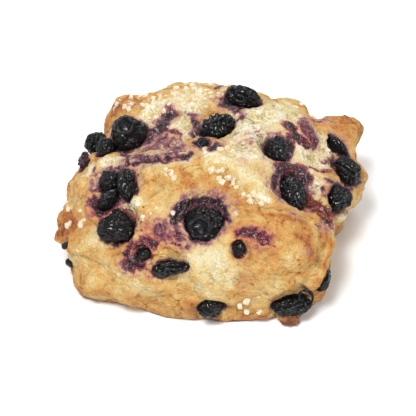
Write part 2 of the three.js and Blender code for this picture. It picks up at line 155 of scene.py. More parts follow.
# ---------------------------------------------------------------- the dough's form, as in the CAD


@dataclass(frozen=True)
class Lump:
    """A soft lump, or a hollow where its rise is negative."""

    at: Point
    reach: Point
    turn: float
    rise: float

    def lift(self, points: np.ndarray) -> np.ndarray:
        """How far the surface moves out at some points.

        Args:
            points: Places on the plain block, one row each.

        Returns:
            The rise at each point.
        """
        angle = math.radians(self.turn)
        x, y, z = (points - np.array(self.at)).T
        along = (x * math.cos(angle) + y * math.sin(angle)) / self.reach[0]
        across = (y * math.cos(angle) - x * math.sin(angle)) / self.reach[1]
        return self.rise * np.exp(-((along**2 + across**2 + (z / self.reach[2]) ** 2) ** LUMP_FIRMNESS))


@dataclass(frozen=True)
class Fold:
    """An edge where one sheet of dough lies over the next, high on the line's left."""

    line: tuple[Point, ...]
    edge: float
    fade: float
    rise: float
    drop: float

    def lift(self, points: np.ndarray) -> np.ndarray:
        """How far the surface moves out at some points.

        Args:
            points: Places on the plain block, one row each.

        Returns:
            The rise at each point, below 0 on the line's right.
        """
        distance, side, share = place_by_line(points, curve_through(self.line), 3 * self.fade)
        step = 1 / (1 + np.exp(np.clip(-4 * side / self.edge, -60, 60)))
        near = end_fade(share) * np.exp(-((distance / self.fade) ** FOLD_SHARPNESS))
        return near * (self.rise * step - self.drop * (1 - step))


@dataclass(frozen=True)
class Crease:
    """A crease pressed or torn into the surface."""

    line: tuple[Point, ...]
    wide: float
    deep: float

    def lift(self, points: np.ndarray) -> np.ndarray:
        """How far the surface moves out at some points, which is inwards here."""
        distance, _, share = place_by_line(points, curve_through(self.line), 6 * self.wide)
        return -self.deep * end_fade(share) * np.exp(-((distance / self.wide) ** CREASE_SHARPNESS))


HALF_LENGTH, HALF_DEPTH = 47.0, 40.0
PLAN_CORNER, PLAN_TURN = 2.8, -11.0
CORE_HEIGHT = 15.0
DOME_HEIGHT, DOME_CORNER = 23.0, 2.6
UNDER_DEPTH, UNDER_CORNER = 28.0, 3.0
LUMP_FIRMNESS = 1.5
FOLD_SHARPNESS = 1.5
CREASE_SHARPNESS = 1.3
STEPS_PER_SPAN = 8
VERY_FAR = 1000.0
CORE = np.array([0, 0, CORE_HEIGHT])

# The lumps, folds and creases of the part's source, in the same order.
LUMPS = (
    Lump((-32, 30, 26), (8, 8, 9.5), 30, 5.2),
    Lump((-42, 25, 21), (15, 13, 18), 40, -8),
    Lump((2, 34, 32), (20, 12, 14), -5, 3.7),
    Lump((14, 34, 34), (5, 6, 8), 0, -2),
    Lump((29, 31, 29), (7, 7, 8), 0, 3.6),
    Lump((35.4, 27.5, 30.4), (4.6, 6, 9), 0, -6.6),
    Lump((42, 23.4, 25.8), (9, 10.5, 9), 0, 8.6),
    Lump((49, 16, 20), (5, 4.5, 8), 0, -2.6),
    Lump((50, 6, 20), (10, 8, 10), 0, 2.2),
    Lump((46, -5, 4), (8, 9, 9), 0, -3),
    Lump((43, -16, 10), (14, 12, 16), 40, -5.5),
    Lump((-48, -15, 17), (8, 7, 5), 70, 2),
    Lump((-48.5, -15.5, 8), (8, 6, 5.5), 70, -3.4),
    Lump((-48, -4, 21), (7, 6, 7), 0, -2.6),
    Lump((-46, -2, 24), (7, 9, 6), 0, -1.2),
    Lump((-46, 6, 19), (6, 6, 7), 0, 0.4),
    Lump((-40, -27, 4), (16, 10, 12), -50, 4.2),
    Lump((-33, -34, 0), (10, 7, 6), 0, -2.4),
    Lump((-20, -37, 8), (24, 12, 16), -10, 2.5),
    Lump((27, -40, 1), (5, 5, 4), 0, 3),
    Lump((-2, -9, 37), (28, 11, 16), -6, 3.8),
    Lump((12, -10, 38), (11, 8, 12), 20, 1.6),
    Lump((16, 14, 38), (17, 13, 14), 10, 4.2),
    Lump((-17, 8, 36), (17, 6.5, 12), 8, -7.5),
    Lump((-16, 10, 33), (8, 2.5, 8), 12, 2.2),
    Lump((-13, 18, 36), (5, 3.5, 6), 40, -3),
    Lump((-2, -27, 34), (10, 7, 9), 0, -4.5),
    Lump((25, -30, 31), (17, 8, 12), -5, 3.6),
    Lump((34, -16, 33), (12, 7, 12), -12, -4),
    Lump((41, 3, 30), (9, 9, 10), 20, -3),
    Lump((-33, -12, 30), (6, 20, 12), 8, -5),
    Lump((-34, 11, 29), (6, 6, 7), 0, -1.6),
    Lump((50, 0, 17), (7, 7, 7), 0, 1.4),
    Lump((37, -27, 2), (6, 7, 6), 0, -1.5),
)
SHOULDER_FLAP = (
    *((7, -23, 36), (15, -25, 37), (25, -26, 36), (33, -26, 31)),
    *((36, -28, 27), (34, -34, 21), (29, -38, 15)),
)
RIDGE_RIM = ((-30, -5, 34), (-24, -6, 38), (-19, -7, 40), (-11, -7, 41), (-4, -5, 42), (2, -3, 42))
ARC_RIM = ((34, -4, 31), (40, -2, 29), (45, -2, 24), (47, -4, 19))
LEFT_RIM = (
    *((-36, 8, 30), (-40, -1, 29), (-41, -10, 28), (-39, -18, 28)),
    *((-35, -26, 26), (-28, -33, 23), (-20, -38, 20)),
)
LIP_EDGE = ((-49, -12, 13), (-47, -19, 14), (-44, -24, 16), (-39, -29, 18))
BACK_CRUST = ((-33, 27, 29), (-26, 20, 34), (-18, 21, 35), (-8, 20, 37))
BACK_WALL = ((30, 36, 14), (12, 41, 17), (-8, 41, 15), (-26, 36, 18))
FOLDS = (
    Fold(SHOULDER_FLAP, 1.0, 8, 1.6, 1.8),
    Fold(RIDGE_RIM, 1.0, 6, 1.2, 2.0),
    Fold(ARC_RIM, 0.8, 4, 1.5, 1.5),
    Fold(LEFT_RIM, 1.2, 5, 1.3, 1.6),
    Fold(LIP_EDGE, 1.0, 5, 1.4, 1.4),
    Fold(BACK_CRUST, 1.2, 6, 1.2, 1.4),
    Fold(BACK_WALL, 1.1, 6, 1.3, 1.2),
)
CREASES = (
    Crease(((-24, 13, 37), (-22, 16, 35), (-19, 20, 34), (-16, 20, 36)), 1.3, 1.8),
    Crease(((-48, -16, 21), (-44, -19, 23), (-41, -20, 26), (-37, -22, 28)), 1.5, 2),
    Crease(((-47, -8, 22), (-45, -10, 26), (-41, -11, 29)), 1.3, 1.8),
    Crease(((-46, 0, 22), (-42, -1, 27), (-38, -3, 29)), 1.3, 1.6),
    Crease(((-26, -35, 22), (-23, -36, 21), (-19, -38, 20)), 1.4, 1.6),
    Crease(((34, 24, 32), (36, 19, 33), (40, 12, 30), (44, 7, 27)), 1.5, 2),
    Crease(((40, 26, 12), (33, 33, 16), (29, 35, 24)), 1.5, 1.8),
    Crease(((-44, -8, 6), (-46, 4, 9), (-42, 16, 8)), 1.4, 1.5),
)
RELIEF = ((3, 22, 0.9), (5, 11, 0.7))  # seed, length and height of the all-over unevenness
WAVES_PER_RELIEF = 7
FACING_STEP = 0.03  # how far round the core the surface is felt for the way that it faces

PIT_DEPTH, PIT_REACH = 1.3, 1.25
RIM_RISE, RIM_REACH, RIM_WIDTH = 0.7, 1.75, 0.4


class Draws:
    """The CAD's repeatable stream of numbers from 0 to 1."""

    MASK = 0xFFFFFFFF

    def __init__(self, seed: int) -> None:
        """Starts the stream."""
        self.state = seed & self.MASK

    def __call__(self) -> float:
        """Draws a number.

        Returns:
            The next number, from 0 to 1.
        """
        self.state = (self.state + 0x6D2B79F5) & self.MASK
        mixed = ((self.state ^ (self.state >> 15)) * (self.state | 1)) & self.MASK
        mixed = ((mixed + (((mixed ^ (mixed >> 7)) * (mixed | 61)) & self.MASK)) & self.MASK) ^ mixed
        return ((mixed ^ (mixed >> 14)) & self.MASK) / 4294967296

    def direction(self) -> np.ndarray:
        """Draws a direction.

        Returns:
            A direction of length 1, drawn evenly over the sphere.
        """
        z = 2 * self() - 1
        angle = 2 * math.pi * self()
        ring = math.sqrt(1 - z * z)
        return np.array([ring * math.cos(angle), ring * math.sin(angle), z])


def curve_through(points: Sequence[Point]) -> np.ndarray:
    """A smooth line through some points.

    Args:
        points: The points in order.

    Returns:
        The line's own points, several to each span.
    """
    known = np.array(points, float)
    known = np.vstack([2 * known[0] - known[1], known, 2 * known[-1] - known[-2]])
    line = []
    for a, b, c, d in zip(known, known[1:], known[2:], known[3:]):
        for step in range(STEPS_PER_SPAN):
            t = step / STEPS_PER_SPAN
            start, end = (c - a) / 2, (d - b) / 2
            square, cube = 3 * (c - b) - 2 * start - end, 2 * (b - c) + start + end
            line.append(b + start * t + square * t**2 + cube * t**3)
    return np.array([*line, known[-2]])


def place_by_line(
    points: np.ndarray, line: np.ndarray, margin: float
) -> tuple[np.ndarray, np.ndarray, np.ndarray]:
    """Where points are, seen from a line.

    Args:
        points: The places, one row each.
        line: The line's points.
        margin: Points farther from the line's box than this are left out, as very far away.

    Returns:
        Each point's distance, how far it is to the line's left, and its share of the line.
    """
    near = np.all((points > line.min(0) - margin) & (points < line.max(0) + margin), axis=1)
    places = points[near]
    found, best = ([np.full(n, VERY_FAR), np.zeros(n), np.zeros(n)] for n in (len(points), len(places)))
    spans = len(line) - 1
    for i, (start, end) in enumerate(zip(line, line[1:])):
        span = end - start
        part = np.clip((places - start) @ span / (span @ span), 0, 1)
        offset = places - start - part[:, None] * span
        away = np.linalg.norm(offset, axis=1)
        closer = away < best[0]
        left = unit(np.cross(start - CORE, span))
        for known, new in zip(best, (away, offset @ left, (i + part) / spans)):
            known[closer] = new[closer]
    for whole, known in zip(found, best):
        whole[near] = known
    return tuple(found)


def end_fade(share: np.ndarray) -> np.ndarray:
    """1 along a line, falling to 0 at its ends."""
    return np.sqrt(np.clip(np.sin(math.pi * share), 0, None))


@dataclass
class Seat:
    """Where a berry sits, as the ellipsoid that its solid fills."""

    name: str
    middle: np.ndarray
    axes: np.ndarray
    half: np.ndarray

    @classmethod
    def of(cls, name: str) -> "Seat":
        """The seat of a CAD berry.

        Args:
            name: The berry's node.

        Returns:
            The seat, with its longest half-length last.
        """
        corners = node_corners(name)
        middle = (corners.min(0) + corners.max(0)) / 2
        _, axes = np.linalg.eigh(np.cov((corners - middle).T))
        along = (corners - middle) @ axes
        middle = middle + axes @ ((along.min(0) + along.max(0)) / 2)
        return cls(name, middle, axes, (along.max(0) - along.min(0)) / 2)

    @property
    def reach(self) -> float:
        """The berry's half-length, seen from outside."""
        return float(np.sqrt(self.half[2] * self.half[1]))

    def passing(self, directions: np.ndarray) -> np.ndarray:
        """How close rays from the core pass to the middle.

        Args:
            directions: The rays' directions, one row each.

        Returns:
            A number for each ray, where 1 grazes the berry.
        """
        start = (CORE - self.middle) @ self.axes / self.half
        rays = directions @ self.axes / self.half
        nearest = np.clip(-(rays @ start) / (rays**2).sum(1), 0, None)
        return np.linalg.norm(start + nearest[:, None] * rays, axis=1)


def node_corners(name: str) -> np.ndarray:
    """A CAD node's corners.

    Args:
        name: The node.

    Returns:
        Its corners in millimetres, one row each.
    """
    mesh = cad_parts[name].data
    corners = np.zeros(len(mesh.vertices) * 3, np.float32)
    mesh.vertices.foreach_get("co", corners)
    return corners.reshape(-1, 3).astype(float) / MM


class SconeForm:
    """The dough's surface as a function of the direction from its core, the same as the CAD's."""

    def __init__(self, seats: Sequence[Seat]) -> None:
        """Draws the waves and keeps the seats.

        Args:
            seats: The berries' seats.
        """
        self.seats = seats
        self.waves = [wave for relief in RELIEF for wave in self.make_waves(*relief)]

    @staticmethod
    def make_waves(seed: int, length: float, height: float) -> list[tuple[np.ndarray, float, float]]:
        """Draws one relief's waves.

        Args:
            seed: Where the draws start.
            length: The waves' usual length.
            height: The relief's height.

        Returns:
            Each wave's direction and pitch, its phase and its height.
        """
        draw = Draws(seed)
        level = height / math.sqrt(2 * WAVES_PER_RELIEF)
        return [
            (draw.direction() * (2 * math.pi * (0.7 + 0.6 * draw())) / length, 2 * math.pi * draw(), level)
            for _ in range(WAVES_PER_RELIEF)
        ]

    @staticmethod
    def block_radius(directions: np.ndarray) -> np.ndarray:
        """The distance from the core to the plain rounded block.

        Args:
            directions: Directions from the core, one row each.

        Returns:
            The distance in each direction.
        """
        angle = math.radians(-PLAN_TURN)
        x = directions[:, 0] * math.cos(angle) - directions[:, 1] * math.sin(angle)
        y = directions[:, 0] * math.sin(angle) + directions[:, 1] * math.cos(angle)
        z = directions[:, 2]
        plan = np.abs(x / HALF_LENGTH) ** PLAN_CORNER + np.abs(y / HALF_DEPTH) ** PLAN_CORNER
        height = np.where(z > 0, DOME_HEIGHT, UNDER_DEPTH)
        corner = np.where(z > 0, DOME_CORNER, UNDER_CORNER)
        return (plan ** (corner / PLAN_CORNER) + np.abs(z / height) ** corner) ** (-1 / corner)

    def plain_radius(self, directions: np.ndarray) -> np.ndarray:
        """The distance from the core to the surface, before the berries press into it.

        Args:
            directions: Directions from the core, one row each.

        Returns:
            The distance in each direction.
        """
        radius = self.block_radius(directions)
        points = directions * radius[:, None] + CORE
        rise = sum(part.lift(points) for part in (*LUMPS, *FOLDS, *CREASES))
        for along, phase, level in self.waves:
            rise = rise + level * np.sin(points @ along + phase)
        return radius + rise

    def radius(self, directions: np.ndarray) -> np.ndarray:
        """The distance from the core to the surface, with the berries pressed in.

        Args:
            directions: Directions from the core, one row each.

        Returns:
            The distance in each direction.
        """
        radius = self.plain_radius(directions)
        points = directions * radius[:, None] + CORE
        for seat in self.seats:
            away = np.linalg.norm(points - seat.middle, axis=1) / seat.reach
            radius = radius - PIT_DEPTH * np.exp(-((away / PIT_REACH) ** 4))
            radius = radius + RIM_RISE * np.exp(-(((away - RIM_REACH) / RIM_WIDTH) ** 2))
        return radius

    def surface(self, at: Iterable[float]) -> np.ndarray:
        """The surface point in the direction of a place."""
        direction = unit(np.array(at, float) - CORE)
        return direction * self.radius(direction[None])[0] + CORE

    def outward(self, at: Iterable[float]) -> np.ndarray:
        """The way that the plain surface faces.

        Args:
            at: A place, in whose direction from the core the surface is met.

        Returns:
            The direction outwards.
        """
        direction = unit(np.array(at, float) - CORE)
        side = unit(np.array([-direction[1], direction[0], 0]))
        upright = np.cross(direction, side)
        near = unit(direction + FACING_STEP * np.array([side, -side, upright, -upright]))
        points = near * self.plain_radius(near)[:, None]
        return unit(np.cross(points[0] - points[1], points[2] - points[3]))


# ---------------------------------------------------------------- colours on the dough


class Tint(Enum):
    """What a dab on the dough changes."""

    BAKE = "bake"
    CRUMB = "crumb"
    JUICE = "juice"
    RED = "red"
    JAM = "jam"
    GREEN = "green"
    FROST = "frost"


@dataclass(frozen=True)
class Dab:
    """A spot or streak on the dough: how strong, its radius in pixels, and the pixels it runs through."""

    amount: float
    radius: float
    spots: tuple[Pixel, ...]

    def share(self, points: np.ndarray, sighting: Sighting) -> np.ndarray:
        """How much of the dab lies on each point.

        Args:
            points: The dough's points, in millimetres.
            sighting: The places that the pixels show.

        Returns:
            A number from 0 to 1 for each point.
        """
        line, reach = sighting.line(self.spots), self.radius * PIXEL
        if len(line) == 1:
            distance = np.linalg.norm(points - line[0], axis=1)
        else:
            distance = place_by_line(points, line, 2 * reach)[0]
        return np.exp(-((distance / (DAB_SPREAD * reach)) ** DAB_FIRMNESS))


DAB_SPREAD, DAB_FIRMNESS = 1.25, 2.1


# The dabs, by what they change. Their places were chosen on the picture, and their amounts by the
# differences in brightness and colour that were measured between a render and the picture.
DABS = {
    Tint.BAKE: {
        "corner_edge": Dab(0.9, 3, ((115, 99), (124, 98), (133, 97))),
        "crest_edge": Dab(0.78, 1.6, ((137, 94), (150, 91), (165, 88), (182, 86))),
        "corner_face": Dab(0.93, 9, ((115, 108),)),
        "corner_low": Dab(0.76, 3, ((112, 117),)),
        "crust_band": Dab(0.78, 8, ((139, 104), (155, 99))),
        "crust_right": Dab(0.24, 10, ((181, 99),)),
        "crest_right": Dab(0.62, 5, ((206, 86),)),
        "crust_low": Dab(0.18, 8, ((176, 110),)),
        "left_rim": Dab(0.55, 3, ((94, 158),)),
        "pad": Dab(0.1, 7, ((109, 163),)),
        "roll_top": Dab(0.42, 6, ((76, 181),)),
        "roll_mid": Dab(0.46, 5, ((73, 194),)),
        "roll_edge": Dab(0.78, 1.6, ((68, 186), (69, 180), (77, 174), (82, 172))),
        "roll_edge_low": Dab(0.76, 1.6, ((66, 201), (68, 194))),
        "ridge_left": Dab(0.5, 8, ((145, 175),)),
        "ridge_left_gold": Dab(0.42, 8, ((166, 170),)),
        "ridge_brown": Dab(0.68, 6, ((186, 176),)),
        "ridge_brown_low": Dab(0.74, 7, ((192, 187),)),
        "ridge_brown_right": Dab(0.66, 4, ((208, 176),)),
        "ridge_front_gold": Dab(0.38, 10, ((155, 196),)),
        "knob": Dab(0.78, 13, ((341, 128),)),
        "knob_edge": Dab(0.88, 1.8, ((327, 118), (339, 117), (350, 118), (356, 124), (360, 136))),
        "knob_low": Dab(0.42, 8, ((351, 141),)),
        "right_bulge": Dab(0.6, 5, ((360, 172),)),
        "arc": Dab(0.58, 3, ((319, 174), (333, 174), (344, 179), (353, 187))),
        "arc_edge": Dab(0.74, 1.3, ((323, 170), (335, 171), (346, 176), (355, 184))),
        "right_under_arc": Dab(0.6, 4, ((358, 190),)),
        "right_low_edge": Dab(0.78, 3, ((352, 207),)),
        "flake": Dab(0.62, 3, ((276, 101),)),
        "back_bump": Dab(0.26, 6, ((298, 107),)),
        "back_bump_edge": Dab(0.62, 2, ((303, 112),)),
        "ridge_gold": Dab(0.16, 8, ((222, 158),)),
        "ridge_pale": Dab(0.14, 9, ((246, 173),)),
        "ridge_brown_mid": Dab(0.66, 4, ((206, 178),)),
        "ridge_brown_foot": Dab(0.7, 8, ((227, 190),)),
        "ridge_orange": Dab(0.76, 5, ((237, 201),)),
        "shoulder_top": Dab(0.42, 6, ((262, 203),)),
        "lip": Dab(0.9, 8, ((64, 222),)),
        "lip_edge": Dab(0.95, 5, ((62, 230),)),
        "lip_inner": Dab(0.86, 6, ((73, 222),)),
        "lip_top": Dab(0.46, 6, ((77, 207),)),
        "lip_under": Dab(0.62, 5, ((72, 241),)),
        "wall_left_cream": Dab(0.14, 9, ((92, 239), (100, 243))),
        "wall_left_gold": Dab(0.44, 6, ((87, 251),)),
        "wall_left": Dab(0.42, 7, ((109, 262),)),
        "wall_low_left": Dab(0.64, 8, ((82, 278),)),
        "wall_base_left": Dab(0.64, 8, ((103, 292),)),
        "base_spot": Dab(0.8, 2, ((110, 293),)),
        "wall_base_mid": Dab(0.62, 7, ((150, 302),)),
        "wall_base_right": Dab(0.58, 6, ((168, 309),)),
        "base_edge": Dab(
            0.66,
            1.6,
            ((73, 273), (78, 285), (94, 295), (117, 301), (140, 308), (160, 316), (184, 318),
             (197, 315)),
        ),
        "wall_mid": Dab(0.46, 10, ((134, 287), (155, 290))),
        "wall_mid_right": Dab(0.3, 8, ((182, 279),)),
        "front_pale": Dab(0.02, 14, ((199, 258), (217, 262))),
        "front_pale_low": Dab(0.08, 12, ((215, 272),)),
        "front_pale_foot": Dab(0.4, 8, ((206, 286),)),
        "pink_tan": Dab(0.52, 7, ((140, 216), (143, 230))),
        "gold_mid": Dab(0.44, 8, ((150, 211),)),
        "cream_spot": Dab(0.2, 5, ((164, 213),)),
        "crown_brown": Dab(0.8, 5, ((160, 230),)),
        "cloud_low": Dab(0.12, 8, ((273, 283),)),
        "cloud_right": Dab(0.17, 7, ((292, 260),)),
        "flap_left": Dab(0.44, 8, ((262, 217),)),
        "flap": Dab(0.61, 10, ((290, 226),)),
        "flap_right": Dab(0.71, 9, ((307, 236),)),
        "flap_right_low": Dab(0.76, 6, ((311, 251),)),
        "front_tan": Dab(0.7, 10, ((262, 251),)),
        "front_tan_low": Dab(0.5, 8, ((273, 264),)),
        "front_streak": Dab(0.56, 5, ((240, 264),)),
        "front_streak_low": Dab(0.64, 5, ((243, 278),)),
        "front_base": Dab(0.52, 8, ((251, 295),)),
        "front_base_right": Dab(0.46, 6, ((264, 306),)),
        "front_base_left": Dab(0.5, 6, ((234, 314),)),
        "right_wall_top": Dab(0.74, 4, ((323, 234),)),
        "right_wall": Dab(0.7, 7, ((327, 243),)),
        "right_wall_mid": Dab(0.56, 4, ((330, 258),)),
        "right_wall_low": Dab(0.6, 5, ((318, 294),)),
        "right_notch_cream": Dab(0.2, 4, ((302, 283),)),
        "foot": Dab(0.88, 5, ((290, 320),)),
        "jam_side": Dab(0.52, 4, ((349, 202),)),
        "jam_cream": Dab(0.1, 4, ((344, 217),)),
        "flap_edge": Dab(0.92, 1.2, ((318, 251), (315, 271), (304, 284))),
        "front_gold": Dab(0.42, 6, ((218, 295), (226, 298))),
        "hill_tan": Dab(0.42, 9, ((258, 182), (268, 190), (250, 172))),
        "knob_rim_right": Dab(0.9, 1.8, ((361, 134), (359, 143))),
        "rod": Dab(0.5, 3, ((92, 158), (98, 155))),
        "flake_dark": Dab(0.8, 2, ((273, 99), (280, 102))),
        "hill_cream": Dab(
            0.16,
            16,
            ((252, 125), (256, 150), (285, 118), (300, 150), (276, 150), (305, 168)),
        ),
        "hill_cream_top": Dab(0.16, 10, ((270, 108), (290, 110))),
        "ridge_cream": Dab(0.1, 7, ((215, 158), (228, 162), (240, 168), (250, 178), (262, 190))),
        "ridge_cream_left": Dab(0.24, 6, ((150, 168), (165, 166), (178, 163))),
        "right_cream": Dab(0.14, 9, ((315, 160), (312, 190))),
        "crest_cream": Dab(0.14, 8, ((165, 101), (185, 96), (160, 108), (150, 104))),
        "knob_shade": Dab(0.92, 3, ((345, 117), (352, 121))),
        "arc_burnt": Dab(0.95, 4, ((242, 233), (252, 232), (262, 236), (271, 240))),
        "speckled_tan": Dab(0.72, 9, ((165, 232), (168, 242), (178, 244))),
        "corner_side": Dab(0.8, 6, ((108, 124), (104, 133))),
        "left_dark_edge": Dab(0.86, 1.6, ((62, 205), (58, 214), (55, 226), (56, 236))),
        "lip_orange": Dab(0.8, 5, ((66, 214), (63, 226), (66, 236))),
        "front_pale_left": Dab(0.16, 8, ((190, 256), (200, 270), (206, 288))),
        "wall_cream_low": Dab(0.26, 7, ((106, 266), (126, 282), (150, 288))),
        "front_pale_right": Dab(0.2, 6, ((232, 268), (228, 284))),
        "low_right_cream": Dab(0.3, 7, ((262, 290), (270, 284))),
        "shoulder_streak": Dab(0.8, 3.5, ((296, 232), (306, 240), (312, 250))),
        "flap_streak": Dab(0.8, 2.6, ((262, 212), (276, 216), (290, 218), (304, 222))),
        "pad_gold": Dab(0.4, 5, ((118, 158), (104, 165))),
    },
    Tint.CRUMB: {
        "hill_back": Dab(1, 14, ((246, 108),)),
        "hill": Dab(1, 17, ((252, 128), (246, 148))),
        "hill_top": Dab(1, 10, ((236, 118), (258, 112), (272, 116))),
        "hill_right": Dab(1, 12, ((285, 112), (292, 118))),
        "hill_low": Dab(0.2, 10, ((256, 166), (262, 176))),
        "right": Dab(1, 15, ((306, 150), (314, 160))),
        "right_top": Dab(1, 8, ((312, 138), (320, 142))),
        "right_low": Dab(1, 7, ((314, 187), (308, 196))),
        "right_edge": Dab(0.9, 6, ((328, 150),)),
        "behind_top": Dab(1, 10, ((188, 112), (182, 124), (196, 104))),
        "valley": Dab(1, 13, ((152, 146), (168, 141), (186, 142))),
        "valley_low": Dab(1, 7, ((138, 158), (160, 158), (182, 156))),
        "pad": Dab(1, 7, ((106, 163), (116, 161), (126, 158))),
        "shelf": Dab(1, 6, ((146, 118), (154, 122), (150, 128))),
        "shelf_top": Dab(0.9, 5, ((148, 110), (163, 106))),
        "knob_pale": Dab(0.9, 6, ((138, 148),)),
        "left_bits": Dab(1, 5, ((116, 207), (126, 208), (137, 201))),
        "jam_side": Dab(1, 4, ((344, 217),)),
        "flap_top_left": Dab(0.6, 4, ((236, 213),)),
        "roll_inner": Dab(0.7, 5, ((90, 165), (88, 175))),
        "below_small": Dab(1, 5, ((106, 206),)),
        "pink_fold": Dab(0.9, 4, ((136, 256), (146, 262))),
    },
    Tint.JUICE: {
        "band": Dab(0.66, 5, ((140, 158), (150, 159), (162, 157), (174, 155), (184, 155))),
        "band_top": Dab(0.52, 5, ((156, 150), (170, 148), (180, 150))),
        "band_edge": Dab(
            0.7,
            1.7,
            ((132, 166), (141, 162), (150, 163), (160, 162), (169, 164), (178, 162)),
        ),
        "band_left": Dab(0.58, 3.2, ((134, 160), (139, 156), (144, 155))),
        "band_dark": Dab(0.95, 2.4, ((184, 159), (188, 156), (191, 154))),
        "island": Dab(0.42, 7, ((157, 140), (168, 137), (176, 141))),
        "island_rim": Dab(
            0.6,
            1.8,
            ((152, 137), (158, 133), (168, 132), (176, 132), (181, 136), (183, 141)),
        ),
        "island_left": Dab(0.6, 2.4, ((150, 144), (152, 139))),
        "knob": Dab(0.3, 4, ((139, 147),)),
        "pit": Dab(0.92, 4.5, ((158, 128), (163, 122), (169, 115))),
        "pit_wide": Dab(0.72, 7, ((160, 124), (166, 118), (172, 113))),
        "pit_pink": Dab(0.42, 3.4, ((174, 112), (178, 115))),
        "gap_dark": Dab(0.98, 2.4, ((147, 129), (153, 130), (160, 130), (167, 130))),
        "gap_wash": Dab(0.55, 5, ((148, 132), (158, 129))),
        "left_vertical": Dab(0.6, 2.8, ((131, 153), (128, 159), (127, 166))),
        "left_mauve": Dab(0.24, 5, ((120, 161), (123, 166))),
        "left_mauve_dark": Dab(0.62, 2, ((123, 169), (117, 168))),
        "right_grey": Dab(0.18, 7, ((186, 146), (192, 150))),
        "right_dark": Dab(0.8, 3.2, ((193, 122), (196, 128), (197, 133))),
        "right_dark_top": Dab(0.6, 3, ((190, 116), (195, 117))),
        "right_wash_top": Dab(0.28, 8, ((194, 120),)),
        "crevice": Dab(0.95, 3.6, ((174, 215), (177, 208), (182, 204), (188, 203))),
        "crevice_low": Dab(0.88, 3, ((172, 220), (176, 218))),
        "speckled": Dab(0.5, 8, ((161, 230), (170, 233), (178, 238))),
        "speckled_top": Dab(0.46, 6, ((168, 224), (178, 228))),
        "speckled_left": Dab(0.5, 3, ((157, 228),)),
        "speckled_low": Dab(0.36, 6, ((170, 243), (180, 246), (186, 246))),
        "crown_fuzz": Dab(0.66, 3, ((192, 203), (200, 202), (212, 203), (222, 206))),
        "crown_fuzz_wash": Dab(0.36, 6, ((184, 198), (200, 194), (214, 195), (226, 200), (232, 207))),
        "crown_right": Dab(0.4, 3.4, ((228, 210), (230, 218))),
        "blush": Dab(0.48, 4, ((137, 214), (138, 224), (138, 232))),
        "blush_wash": Dab(0.24, 9, ((143, 222), (142, 236))),
        "blush_line": Dab(0.5, 1.5, ((136, 217), (136, 224))),
        "tip_pink": Dab(0.5, 2, ((115, 206), (118, 208))),
        "tip_pink_low": Dab(0.5, 1.8, ((123, 213), (127, 216))),
        "red_zone": Dab(0.72, 7.6, ((131, 246), (136, 248), (133, 252))),
        "red_zone_right": Dab(0.7, 6.4, ((140, 243), (147, 245), (153, 243))),
        "red_brown": Dab(0.8, 3.4, ((143, 247), (150, 245))),
        "tear_dark": Dab(0.9, 4.8, ((127, 254), (131, 258), (136, 262), (141, 265))),
        "tear_red": Dab(0.74, 6.4, ((127, 264), (131, 269))),
        "tear_red_right": Dab(0.72, 5.4, ((139, 266), (144, 268), (147, 269))),
        "tear_low": Dab(0.68, 4, ((128, 272), (133, 272))),
        "tear_wash": Dab(0.46, 8, ((131, 262), (139, 266))),
        "pink_fold": Dab(0.36, 2.5, ((135, 256), (142, 259))),
        "flap_pink": Dab(0.42, 2.6, ((147, 278), (151, 280))),
        "jelly": Dab(0.95, 4.2, ((80, 163), (84, 157), (82, 168))),
        "rod_purple": Dab(0.5, 2, ((93, 168), (92, 174))),
        "roll_magenta": Dab(0.64, 2.2, ((92, 176), (97, 174))),
        "roll_purple": Dab(0.56, 2.4, ((91, 180), (90, 186), (91, 191))),
        "roll_dark": Dab(0.86, 2.6, ((94, 190),)),
        "roll_pink": Dab(0.32, 4, ((88, 194), (92, 197))),
        "left_red": Dab(0.74, 6, ((94, 202), (96, 208), (98, 213))),
        "left_red_dark": Dab(0.94, 4.4, ((99, 210), (102, 214))),
        "left_red_low": Dab(0.5, 3, ((88, 214), (96, 216))),
        "left_red_wash": Dab(0.34, 9, ((90, 208), (98, 205))),
        "mid_right_mauve": Dab(0.42, 3, ((122, 193), (126, 196))),
        "below_small": Dab(0.4, 4, ((106, 205), (108, 210))),
        "inner_side": Dab(0.72, 1.8, ((136, 175), (137, 186), (136, 193))),
        "corner_magenta": Dab(0.6, 4, ((108, 130),)),
        "dot_under_arc": Dab(0.75, 0.9, ((266, 260),)),
        "dot_right": Dab(0.7, 1.1, ((290, 268),)),
        "dot_low": Dab(0.95, 1.6, ((249, 304),)),
        "dot_low_left": Dab(0.9, 1.1, ((232, 304),)),
        "dot_low_mid": Dab(0.75, 0.9, ((238, 302),)),
        "dot_above": Dab(0.95, 1, ((142, 206),)),
        "dot_front": Dab(0.6, 0.9, ((255, 268),)),
        "dot_front_top": Dab(0.6, 0.8, ((262, 262),)),
        "dot_front_low": Dab(0.55, 1.2, ((253, 284),)),
        "dot_by_notch": Dab(0.6, 1, ((254, 247),)),
        "dot_by_flap": Dab(0.6, 1, ((186, 252),)),
        "dot_by_sliver": Dab(0.55, 0.9, ((141, 236),)),
        "flap_speckle": Dab(0.18, 4, ((302, 249), (310, 250))),
        "back_long_side": Dab(0.76, 3, ((222, 104), (228, 108), (236, 110))),
        "back_long_wash": Dab(0.3, 6, ((214, 99), (222, 106), (232, 109))),
        "back_long_tip": Dab(0.7, 2.4, ((216, 88), (221, 84))),
        "between_dark": Dab(0.95, 2.2, ((240, 116), (237, 120))),
        "flake_under": Dab(0.85, 1.4, ((274, 106),)),
        "back_edge": Dab(0.6, 1.8, ((306, 118), (314, 121), (322, 122))),
        "knob_left": Dab(0.42, 3.4, ((325, 119), (331, 122))),
        "streak": Dab(0.95, 3.2, ((288, 124), (291, 130), (296, 135))),
        "streak_dark": Dab(1, 3.4, ((290, 136), (297, 141))),
        "streak_low": Dab(0.95, 3, ((297, 134), (301, 138), (304, 142))),
